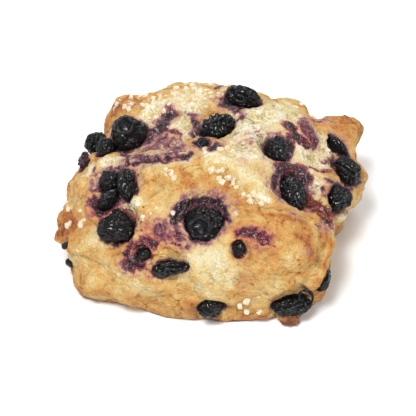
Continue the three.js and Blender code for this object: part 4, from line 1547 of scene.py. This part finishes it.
@dataclass
class Dough:
    """The dough: the CAD's form with finer relief, and its colours as numbers on its points."""

    form: SconeForm
    skins: Skins
    view: View
    cuts: int = 128
    evenness: Point = (47.0, 40.0, 24.0)
    lift: float = 8.0
    base_round: float = 1.6
    groove: float = 0.5
    groove_width: float = 0.8
    tuck: float = 0.35
    cover: float = 0.15
    far_gap: float = 9.0
    halo_view: float = 2.6
    tuck_view: float = 1.3
    halo_firmness: float = 1.4
    # how wide, in millimetres, the dark line painted as shade in the crevice against each berry is
    crevice_shade_width: float = 0.35
    usual_bake: float = 0.42
    bake_patches: tuple[Bumps, ...] = (Bumps(0.20, 15, 7), Bumps(0.16, 5, 8))
    dab_edges: tuple[Bumps, ...] = (Bumps(0.7, 2.2, 1), Bumps(1.0, 6, 4))
    halo_edge: Bumps = Bumps(0.5, 3, 21)
    layers: tuple[Bumps, ...] = (Bumps(0.20, 7, 14), Bumps(0.12, 3, 15))
    layer_stretch: Point = (1, 1, 3.2)
    lumps: Crags = Crags(0.60, 8, 4, 11)
    blisters: tuple[Crags, ...] = (Crags(1, 9, 2, 18), Crags(1, 6, 2, 19))
    blister_rise: float = 0.22
    blister_edge: float = 0.06
    crags: Crags = Crags(0.8, 3.6, 3, 16)
    pits: Bumps = Bumps(0.5, 1.7, 17)
    crag_level: float = 0.3
    crumb_crags: float = 0.75
    jam_crags: float = 1.2
    crack_lines: Bumps = Bumps(1, 4.4, 34)
    crack_bend: Bumps = Bumps(1.2, 4, 31)
    crack_patches: Bumps = Bumps(1, 9, 35)
    crack_width: float = 0.05
    crack_depth: float = 0.35
    smooth_foot: float = 2.5
    swell_gain: float = 4.0
    swell_gap: float = 0.6
    flakes: tuple[Flake, ...] = (
        Flake((25.7, -40.9, 1.9), (6.8, 5, 4.2)),
        Flake((21, 25.6, 34.6), (4.6, 3, 3)),
        Flake((-2, 34, 33.6), (7, 4, 2.6)),
        Flake((42, -9, 17.5), (5, 8, 8)),
        Flake((-47.6, -16.6, 14.8), (5, 6, 4)),
        Flake((-5, -3, 41), (6, 4, 3)),
    )

    def directions(self) -> tuple[bpy.types.Mesh, np.ndarray]:
        """A cube cut into even faces.

        Returns:
            Its mesh, and the direction from the core that each of its points stands for.
        """
        ball = bmesh.new()
        bmesh.ops.create_cube(ball, size=2)
        bmesh.ops.subdivide_edges(ball, edges=ball.edges[:], cuts=self.cuts, use_grid_fill=True)
        mesh = bpy.data.meshes.new("dough_detailed")
        ball.to_mesh(mesh)
        ball.free()
        even = unit(np.tan(mesh_points(mesh) * MM * math.pi / 4))
        return mesh, unit(even * np.array(self.evenness) + np.array([0, 0, self.lift]))

    def outline(self, directions: np.ndarray) -> np.ndarray:
        """The surface with its flakes, and a soft edge round the flat base.

        Args:
            directions: Directions from the core, one row each.

        Returns:
            The distance from the core in each direction.
        """
        radius = self.form.radius(directions)
        for flake in self.flakes:
            radius = np.maximum(radius, flake.exit(directions))
        table = CORE_HEIGHT / np.clip(-directions[:, 2], 1e-6, None)
        blend = np.clip(0.5 + 0.5 * (table - radius) / self.base_round, 0, 1)
        return table + (radius - table) * blend - self.base_round * blend * (1 - blend)

    def near_berries(self, directions: np.ndarray, reach: float) -> np.ndarray:
        """The numbers of the points whose rays pass a berry within a reach, in its own size."""
        return np.flatnonzero(np.min([seat.passing(directions) for seat in self.form.seats], axis=0) < reach)

    def berry_gaps(self, points: np.ndarray, directions: np.ndarray) -> tuple[np.ndarray, np.ndarray]:
        """Measures from the dough to the berries.

        Args:
            points: The dough's points, in millimetres.
            directions: Their directions from the core.

        Returns:
            How far each point is from the nearest berry, and which berry that is.
        """
        gaps, berries = np.full(len(points), self.far_gap), np.zeros(len(points), int)
        for index in self.near_berries(directions, self.halo_view):
            _, _, face, gaps[index] = self.skins.tree.find_nearest(Vector(points[index]))
            berries[index] = self.skins.berry_of(face)
        return gaps, berries

    def tucked(self, points: np.ndarray, directions: np.ndarray) -> np.ndarray:
        """Takes in what lies in or over a berry until it is just under the berry's skin.

        Args:
            points: The dough's points, in millimetres.
            directions: Their directions from the core.

        Returns:
            The points, taken in.
        """
        points, core, tree = points.copy(), Vector(CORE), self.skins.tree
        for index in self.near_berries(directions, self.tuck_view):
            ray = Vector(points[index]) - core
            length = ray.length
            ray.normalize()
            entry = tree.ray_cast(core, ray, length)[3]
            if entry is not None and tree.ray_cast(core + ray * (length - self.cover), ray)[0] is not None:
                points[index] = core + ray * min(length, entry + self.tuck)
        return points

    def baked(self, points: np.ndarray, bulge: np.ndarray) -> np.ndarray:
        """How brown the crust is before the dabs.

        Args:
            points: The dough's points, in millimetres.
            bulge: How far each stands out from its surroundings.

        Returns:
            A number for each point, higher on bulges, near the base and in cracks.
        """
        height = points[:, 2]
        bake = self.usual_bake + sum(patch.at(points) for patch in self.bake_patches)
        bake += 0.7 * np.clip(bulge, -0.3, 0.3) + 0.3 * self.cracks(points)
        return bake + 0.06 * (1 - smooth(2, 9, height)) + 0.25 * (1 - smooth(0.2, 1.4, height))

    def halo(self, points: np.ndarray, gaps: np.ndarray, nearest: np.ndarray) -> np.ndarray:
        """How strongly the berries stain the dough round them, with a dark line painted as shade in the
        crevice right against each berry.

        Args:
            points: The dough's points, in millimetres.
            gaps: How far they are from the nearest berry.
            nearest: Which berry that is.

        Returns:
            A number from 0 to 1 for each point.
        """
        strength, reach = np.array([HALOS.get(seat.name, HALO) for seat in self.form.seats])[nearest].T
        bled = gaps * (1 + self.halo_edge.at(points))
        stain = strength * np.exp(-((bled / reach) ** self.halo_firmness))
        # Right against a berry the stain is full: a dark line painted as shade in the crevice, over the juice.
        return np.maximum(stain, np.exp(-((gaps / self.crevice_shade_width) ** 2)))

    def masks(
        self, mesh: bpy.types.Mesh, sighting: Sighting, gaps: np.ndarray, nearest: np.ndarray
    ) -> dict[str, np.ndarray]:
        """The numbers that colour the dough.

        Args:
            mesh: The dough's mesh, with its form.
            sighting: The places that the picture's pixels show on it.
            gaps: How far its points are from the nearest berry.
            nearest: Which berry that is.

        Returns:
            A number from 0 to 1 on each point, by name.
        """
        points = mesh_points(mesh)
        places = stirred(points, *self.dab_edges)
        made = {tint.value: np.zeros(len(points)) for tint in Tint}
        made["bake"] = self.baked(points, swelling(mesh, 12))
        for tint, dabs in DABS.items():
            level = made[tint.value]
            for dab in dabs.values():
                share = dab.share(places, sighting)
                if tint is Tint.BAKE:
                    level = level * (1 - BAKE_HOLD * share) + dab.amount * BAKE_HOLD * share
                else:
                    level = np.maximum(level, dab.amount * share)
            made[tint.value] = level
        made["juice"] = np.maximum(made["juice"], self.halo(points, gaps, nearest))
        made["bake"] = np.clip(made["bake"], 0, 1)
        return made

    def relief(self, mesh: bpy.types.Mesh, made: dict[str, np.ndarray], gaps: np.ndarray) -> np.ndarray:
        """The fine relief: lumps, layers on the walls, blisters, rough crumb, cracks and berries' grooves.

        Args:
            mesh: The dough's mesh, with its form.
            made: The numbers that colour it.
            gaps: How far its points are from the nearest berry.

        Returns:
            How far each point moves out, in millimetres.
        """
        points, normals = mesh_points(mesh), mesh_points(mesh, "normal")
        crumb, jam = made["crumb"], made["jam"]
        wall = 1 - smooth(0.3, 0.8, np.abs(normals[:, 2]))
        rise = self.lumps.at(points)
        rise += wall * sum(layer.at(points * np.array(self.layer_stretch)) for layer in self.layers)
        for blister in self.blisters:
            rise += self.blister_rise * np.tanh(blister.at(points) / self.blister_edge) * (1 - crumb)
        rough = np.abs(self.crags.at(points)) + np.abs(self.pits.at(points)) - self.crag_level
        rise += np.maximum(crumb * self.crumb_crags, jam * self.jam_crags) * rough
        rise -= self.crack_depth * self.cracks(points) * (1 - crumb)
        rise *= smooth(0.0, self.smooth_foot, points[:, 2])
        return rise - self.groove * np.exp(-((gaps / self.groove_width) ** 2))

    def cracks(self, points: np.ndarray) -> np.ndarray:
        """Fine cracks in patches of the crust, from 0 to 1."""
        line = np.abs(self.crack_lines.at(stirred(points, self.crack_bend)))
        return np.exp(-line / self.crack_width) * smooth(-0.05, 0.3, self.crack_patches.at(points))

    def build(self, material: bpy.types.Material) -> Sighting:
        """Makes the dough in place of the CAD's.

        Args:
            material: The dough's finish.

        Returns:
            The places that the picture's pixels show on it.
        """
        mesh, directions = self.directions()
        points = directions * self.outline(directions)[:, None] + CORE
        move_points(mesh, points)
        sighting = Sighting(self.view, mesh)
        gaps, nearest = self.berry_gaps(points, directions)
        made = self.masks(mesh, sighting, gaps, nearest)
        rise = self.relief(mesh, made, gaps)
        points = self.tucked(points + mesh_points(mesh, "normal") * rise[:, None], directions)
        points[:, 2] = np.clip(points[:, 2], 0, None)
        move_points(mesh, points)
        # How far each point stands out, faded out near the berries; the material browns the bulges with it and
        # paints shade into the hollows.
        made["swell"] = np.clip(swelling(mesh, 5) * self.swell_gain, -1, 1) * smooth(0, self.swell_gap, gaps)
        for name, values in made.items():
            keep_on_points(mesh, name, values)
        piece = show("dough_detailed", mesh, material)
        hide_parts("dough")
        return sighting


@dataclass(frozen=True)
class Crown:
    """A berry's ringed end: the way it faces, or None for out of the dough, and its ring in radians."""

    way: Point | None = None
    ring: float = 0.46
    ring_width: float = 0.10
    lobes: int = 5
    flatness: float = 5.2
    smoothing: float = 0.5
    dust: float = 0.55

    def relief(self, seat: Seat, outward: np.ndarray, points: np.ndarray) -> tuple[np.ndarray, np.ndarray]:
        """The ring, the cup in it and the button in the cup.

        Args:
            seat: The berry's seat.
            outward: The way out of the dough.
            points: The berry's points, in millimetres.

        Returns:
            How far each point moves out, and how much of the crown covers it.
        """
        facing = outward if self.way is None else unit(np.array(self.way))
        spokes = unit(points - seat.middle)
        from_end = np.arccos(np.clip(spokes @ facing, -1, 1))
        side = unit(np.cross(facing, np.array([0.3, 0.1, 1])))
        lobe = np.cos(self.lobes * np.arctan2(spokes @ side, spokes @ np.cross(facing, side)))
        rim = np.exp(-(((from_end - self.ring * (1 + 0.10 * lobe)) / self.ring_width) ** 2))
        cup = 1 - smooth(0.55 * self.ring, 0.95 * self.ring, from_end)
        button = np.exp(-((from_end / (0.22 * self.ring)) ** 2))
        relief = (0.55 + 0.25 * lobe) * rim - 0.55 * cup + 0.35 * button
        covered = 1 - smooth(1.05 * self.ring, 1.35 * self.ring, from_end)
        return relief * seat.reach / self.flatness, covered


@dataclass
class Berry:
    """One berry: its CAD solid made round and wrinkled."""

    seat: Seat
    outward: np.ndarray
    crown: Crown | None
    levels: int = 3
    same: float = 0.001
    lowest: float = 0.05
    full_reach: float = 5.0
    stretch: Point = (1, 1, 0.62)
    plumpness: float = 0.25
    fold_depth: float = 1.05
    fold_width: float = 0.12
    crinkle_depth: float = 0.5
    crinkle_width: float = 0.15

    def rounded(self) -> bpy.types.Mesh:
        """A finer copy of the CAD berry's mesh.

        Returns:
            The mesh, merged and rounded.
        """
        shell = bmesh.new()
        shell.from_mesh(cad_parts[self.seat.name].data)
        bmesh.ops.remove_doubles(shell, verts=shell.verts[:], dist=self.same * MM)
        coarse = bpy.data.meshes.new(self.seat.name + "_coarse")
        shell.to_mesh(coarse)
        shell.free()
        stand_in = bpy.data.objects.new("rounding", coarse)
        bpy.context.scene.collection.objects.link(stand_in)
        soft = stand_in.modifiers.new("soft", "SUBSURF")
        soft.levels = soft.render_levels = self.levels
        seen = stand_in.evaluated_get(bpy.context.evaluated_depsgraph_get())
        mesh = bpy.data.meshes.new_from_object(seen)
        bpy.data.objects.remove(stand_in)
        return mesh

    def fitted(self, mesh: bpy.types.Mesh) -> np.ndarray:
        """The mesh's points, stretched back to the CAD berry's box.

        Args:
            mesh: The rounded mesh.

        Returns:
            The points in millimetres.
        """
        points, corners = mesh_points(mesh), node_corners(self.seat.name)
        low, high = points.min(0), points.max(0)
        return (points - low) / (high - low) * (corners.max(0) - corners.min(0)) + corners.min(0)

    def wrinkles(self, points: np.ndarray) -> np.ndarray:
        """The skin's folds, which run along the berry.

        Args:
            points: The berry's points, in millimetres.

        Returns:
            How far each point moves out.
        """
        seed = sum(map(ord, self.seat.name)) % 97
        run = (points - self.seat.middle) @ self.seat.axes * np.array(self.stretch)
        run = stirred(run, Bumps(0.5, 2.5, seed + 1))
        rise = self.plumpness + Bumps(0.35, 4, seed + 6).at(run) + Bumps(0.25, 2, seed + 7).at(run)
        rise -= self.fold_depth * np.exp(-np.abs(grain(run, 2.6, seed + 4)) / self.fold_width)
        rise -= self.crinkle_depth * np.exp(-np.abs(grain(run, 1.3, seed + 5)) / self.crinkle_width)
        return rise * min(1.0, self.seat.reach / self.full_reach)

    def build(self, material: bpy.types.Material) -> bpy.types.Object:
        """Makes the berry in place of the CAD's.

        Args:
            material: The berry's finish.

        Returns:
            The piece.
        """
        mesh = self.rounded()
        points = self.fitted(mesh)
        move_points(mesh, points)
        rise, dust = self.wrinkles(points), np.zeros(len(points))
        if self.crown is not None:
            raised, covered = self.crown.relief(self.seat, self.outward, points)
            rise = rise * (1 - self.crown.smoothing * covered) + raised
            dust = self.crown.dust * covered
        points = points + mesh_points(mesh, "normal") * rise[:, None]
        points[:, 2] = np.clip(points[:, 2], self.lowest, None)
        move_points(mesh, points)
        keep_on_points(mesh, "dust", dust)
        piece = show(self.seat.name + "_skin", mesh, material)
        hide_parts(self.seat.name)
        return piece


@dataclass(frozen=True)
class Jelly:
    """A lump of cooked juice that stands out of the dough's edge."""

    spot: Pixel = (84, 160)
    half: Point = (2.3, 2.9, 2.6)
    sunk: float = 0.6
    ripples: tuple[Bumps, ...] = (Bumps(0.35, 1.6, 51), Bumps(0.175, 0.7, 52))

    def build(self, form: SconeForm, sighting: Sighting, material: bpy.types.Material) -> None:
        """Makes the lump.

        Args:
            form: The dough's form.
            sighting: The places that the picture's pixels show on it.
            material: The lump's finish.
        """
        place = sighting.place(self.spot)
        middle = place - self.sunk * form.outward(place)
        ball = bmesh.new()
        bmesh.ops.create_icosphere(ball, subdivisions=5, radius=MM)
        mesh = bpy.data.meshes.new("jelly")
        ball.to_mesh(mesh)
        ball.free()
        points = mesh_points(mesh) * np.array(self.half)
        uneven = 1 + sum(ripple.at(points) for ripple in self.ripples)
        move_points(mesh, points * uneven[:, None] + middle)
        keep_on_points(mesh, "dust", np.zeros(len(points)))
        show("jelly", mesh, material)


@dataclass(frozen=True)
class SugarPatch:
    """A patch of sugar: its middle, how far it spreads and how many crystals it has."""

    at: Point
    spread: float
    count: int


@dataclass
class Sugar:
    """Coarse sugar: the CAD's crystals, and finer grains among them."""

    form: SconeForm
    sizes: tuple[float, float] = (1.3, 2.4)
    grain_sizes: tuple[float, float] = (1.1, 2.2)
    sunk: float = 0.68
    clearance: float = 1.2
    bevel: float = 0.22
    seed: int = 41
    patches: tuple[SugarPatch, ...] = (
        SugarPatch((-20, 29, 34), 10, 13),
        SugarPatch((-3, 26, 38), 8, 6),
        SugarPatch((3, -8, 41), 8, 10),
        SugarPatch((14, -21, 38), 4, 5),
        SugarPatch((-15, -22, 35), 9, 4),
        SugarPatch((-44, -18, 22), 9, 5),
        SugarPatch((10, -42, 8), 9, 3),
        SugarPatch((30, 26, 30), 6, 3),
    )
    grains: tuple[Pixel, ...] = (
        *((166, 170), (171, 174), (174, 178), (158, 209), (203, 149), (206, 153), (203, 158), (209, 158)),
        *((207, 165), (213, 171), (218, 171), (222, 170), (219, 178), (222, 182), (229, 178), (233, 183)),
        *((236, 187), (244, 195), (249, 196), (254, 194), (258, 197), (264, 199), (262, 203), (250, 201)),
        *((68, 209), (67, 203), (70, 224), (67, 226), (78, 250), (88, 281)),
        *((116, 103), (124, 106), (129, 109), (131, 97), (140, 96), (147, 94), (149, 107), (153, 107)),
        *((160, 104), (164, 111), (170, 105), (173, 94), (176, 93), (183, 97), (186, 89), (189, 106)),
        *((193, 99), (200, 91), (198, 94), (203, 97), (212, 97), (219, 94), (211, 93), (207, 90)),
        *((296, 107), (247, 312), (232, 318), (162, 278)),
    )
    hidden_grains: tuple[Point, ...] = ((30, 33, 30), (20, 38, 28), (-30, 33, 22))

    def crystal(
        self, sugar: bmesh.types.BMesh, at: np.ndarray, sizes: tuple[float, float], draw: Draws
    ) -> None:
        """Adds one crystal near a point, unless it would touch a berry or the table.

        Args:
            sugar: The mesh that it goes into.
            at: The point, in millimetres.
            sizes: The smallest and largest side of a crystal.
            draw: The stream of numbers.
        """
        least, most = sizes
        size = [least + (most - least) * draw() for _ in range(3)]
        turns = [math.pi * draw() for _ in range(3)]
        middle = self.form.surface(at) + self.form.outward(at) * size[2] * (0.5 - self.sunk)
        room = size[0] + self.clearance * least / self.sizes[0]
        gaps = [np.linalg.norm(seat.middle - middle) - seat.half[2] for seat in self.form.seats]
        if min(gaps) < room or middle[2] < 2 * most:
            return
        turn = Euler(turns, "ZYX").to_matrix().to_4x4()
        place = Matrix.Translation(Vector(middle * MM)) @ turn @ Matrix.Diagonal((*(s * MM for s in size), 1))
        corners = bmesh.ops.create_cube(sugar, size=1, matrix=place)["verts"]
        edges = list({edge for corner in corners for edge in corner.link_edges})
        width = self.bevel * min(size) * MM
        bmesh.ops.bevel(sugar, geom=edges, offset=width, affect="EDGES", segments=1, profile=0.5, material=-1)

    def build(self, sighting: Sighting, material: bpy.types.Material) -> None:
        """Makes all the sugar as one piece.

        Args:
            sighting: The places that the picture's pixels show on the dough.
            material: The sugar's finish.
        """
        sugar = bmesh.new()
        draw = Draws(self.seed)
        for patch in self.patches:
            for _ in range(patch.count):
                offset = draw.direction() * patch.spread * math.sqrt(draw())
                self.crystal(sugar, offset + np.array(patch.at), self.sizes, draw)
        for at in (*sighting.line(self.grains), *self.hidden_grains):
            self.crystal(sugar, np.array(at), self.grain_sizes, draw)
        mesh = bpy.data.meshes.new("sugar")
        sugar.to_mesh(mesh)
        sugar.free()
        piece = show("sugar", mesh, material)
        mesh.polygons.foreach_set("use_smooth", np.zeros(len(mesh.polygons), bool))


# ---------------------------------------------------------------- the studio


@dataclass(frozen=True)
class Lamp:
    """A soft square light: where it stands, how wide it is and how strong."""

    at: Point
    width: float
    power: float


@dataclass
class Studio:
    """A pale floor, soft light and the camera, in metres."""

    view: View = View()
    sky: float = 0.36
    pale: tuple = (0.93, 0.93, 0.93, 1)
    floor_size: float = 3.0
    nearest: float = 0.01
    lamps: tuple[Lamp, ...] = (
        Lamp((-0.24, -0.36, 0.95), 0.36, 11.0),
        Lamp((0.6, -0.6, 0.5), 0.3, 2.5),
        Lamp((0.15, 0.8, 0.7), 0.4, 4.0),
    )

    def floor(self) -> None:
        """Lays the floor."""
        sheet = bmesh.new()
        bmesh.ops.create_grid(sheet, x_segments=1, y_segments=1, size=self.floor_size)
        mesh = bpy.data.meshes.new("floor")
        sheet.to_mesh(mesh)
        sheet.free()
        paint = Paint("white_sweep")
        mesh.materials.append(paint.finish(Base_Color=self.pale, Roughness=0.9, Specular_IOR_Level=0.1))
        floor = bpy.data.objects.new("floor", mesh)
        bpy.context.scene.collection.objects.link(floor)

    def light(self) -> None:
        """Sets up the bright surroundings and the lamps."""
        world = bpy.data.worlds.new("bright_room")
        world.use_nodes = True
        background = world.node_tree.nodes["Background"]
        background.inputs["Color"].default_value = (1, 1, 1, 1)
        background.inputs["Strength"].default_value = self.sky
        bpy.context.scene.world = world
        for number, lamp in enumerate(self.lamps):
            light = bpy.data.lights.new(f"lamp_{number}", "AREA")
            light.energy, light.size = lamp.power, lamp.width
            stand = bpy.data.objects.new(light.name, light)
            stand.location = lamp.at
            towards = Vector(self.view.aim) - Vector(lamp.at)
            stand.rotation_euler = towards.to_track_quat("-Z", "Y").to_euler()
            bpy.context.scene.collection.objects.link(stand)

    def shoot(self) -> None:
        """Places the camera."""
        camera = bpy.data.cameras.new("camera")
        camera.lens, camera.sensor_width, camera.clip_start = self.view.lens, self.view.film, self.nearest
        stand = bpy.data.objects.new("camera", camera)
        stand.location = self.view.eye
        stand.rotation_euler = (math.pi / 2 - math.radians(self.view.elevation), 0, 0)
        bpy.context.scene.collection.objects.link(stand)
        bpy.context.scene.camera = stand
        bpy.context.scene.view_settings.view_transform = "Standard"

    def build(self) -> None:
        """Sets up the whole studio."""
        self.floor()
        self.light()
        self.shoot()


JELLY_TONES = ((0.25, srgb(30, 8, 16)), (0.55, srgb(74, 18, 40)), (0.85, srgb(128, 54, 84)))
HALO = (0.7, 0.6)  # how strongly juice stains the dough round a berry, and how far, in millimetres
HALOS = {
    "berry_crown": (0.92, 1.7),
    "berry_top": (0.55, 1.1),
    "berry_top_small": (0.75, 1.5),
    "berry_back_long": (0.75, 1.5),
    "berry_left_rear": (0.75, 1.5),
    "berry_left_edge": (0.7, 1.2),
    "berry_left_notch": (0.75, 1.3),
    "berry_left_mid": (0.9, 1.8),
    "berry_left_inner": (0.85, 1.3),
    "berry_left_small": (0.85, 1.5),
    "berry_left_front": (0.8, 1.3),
    "berry_right_inner": (0.6, 2.0),
    "berry_right_mid": (0.85, 2.6),
    "berry_right_low": (0.8, 1.6),
    "berry_right_high": (0.75, 1.6),
    "berry_right_strip": (0.65, 1.3),
    "berry_back_wall": (0.7, 1.8),
    "berry_knob_side": (0.7, 1.4),
    "berry_back_corner": (0.6, 1.2),
}
CROWNS = {
    "berry_crown": Crown((-0.22, -0.68, 0.7), ring=0.6),
    "berry_top": Crown(),
    "berry_left_rear": Crown(),
    "berry_left_mid": Crown(),
    "berry_right_inner": Crown(),
    "berry_right_low": Crown(),
    "berry_back_wall": Crown(),
}


def main() -> None:
    """Builds the scone and its studio."""
    logging.basicConfig(level=logging.INFO, format="%(message)s")
    studio = Studio()
    studio.build()
    seats = [Seat.of(name) for name in sorted(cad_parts) if name.startswith("berry")]
    form = SconeForm(seats)
    skin = BerrySkin().make()
    berries = [Berry(seat, form.outward(seat.middle), CROWNS.get(seat.name)).build(skin) for seat in seats]
    sighting = Dough(form, Skins(berries), studio.view).build(BakedDough().make())
    Sugar(form).build(sighting, CoarseSugar().make())
    Jelly().build(form, sighting, BerrySkin(JELLY_TONES, name="cooked_juice").make())


if __name__ == "__main__":
    main()
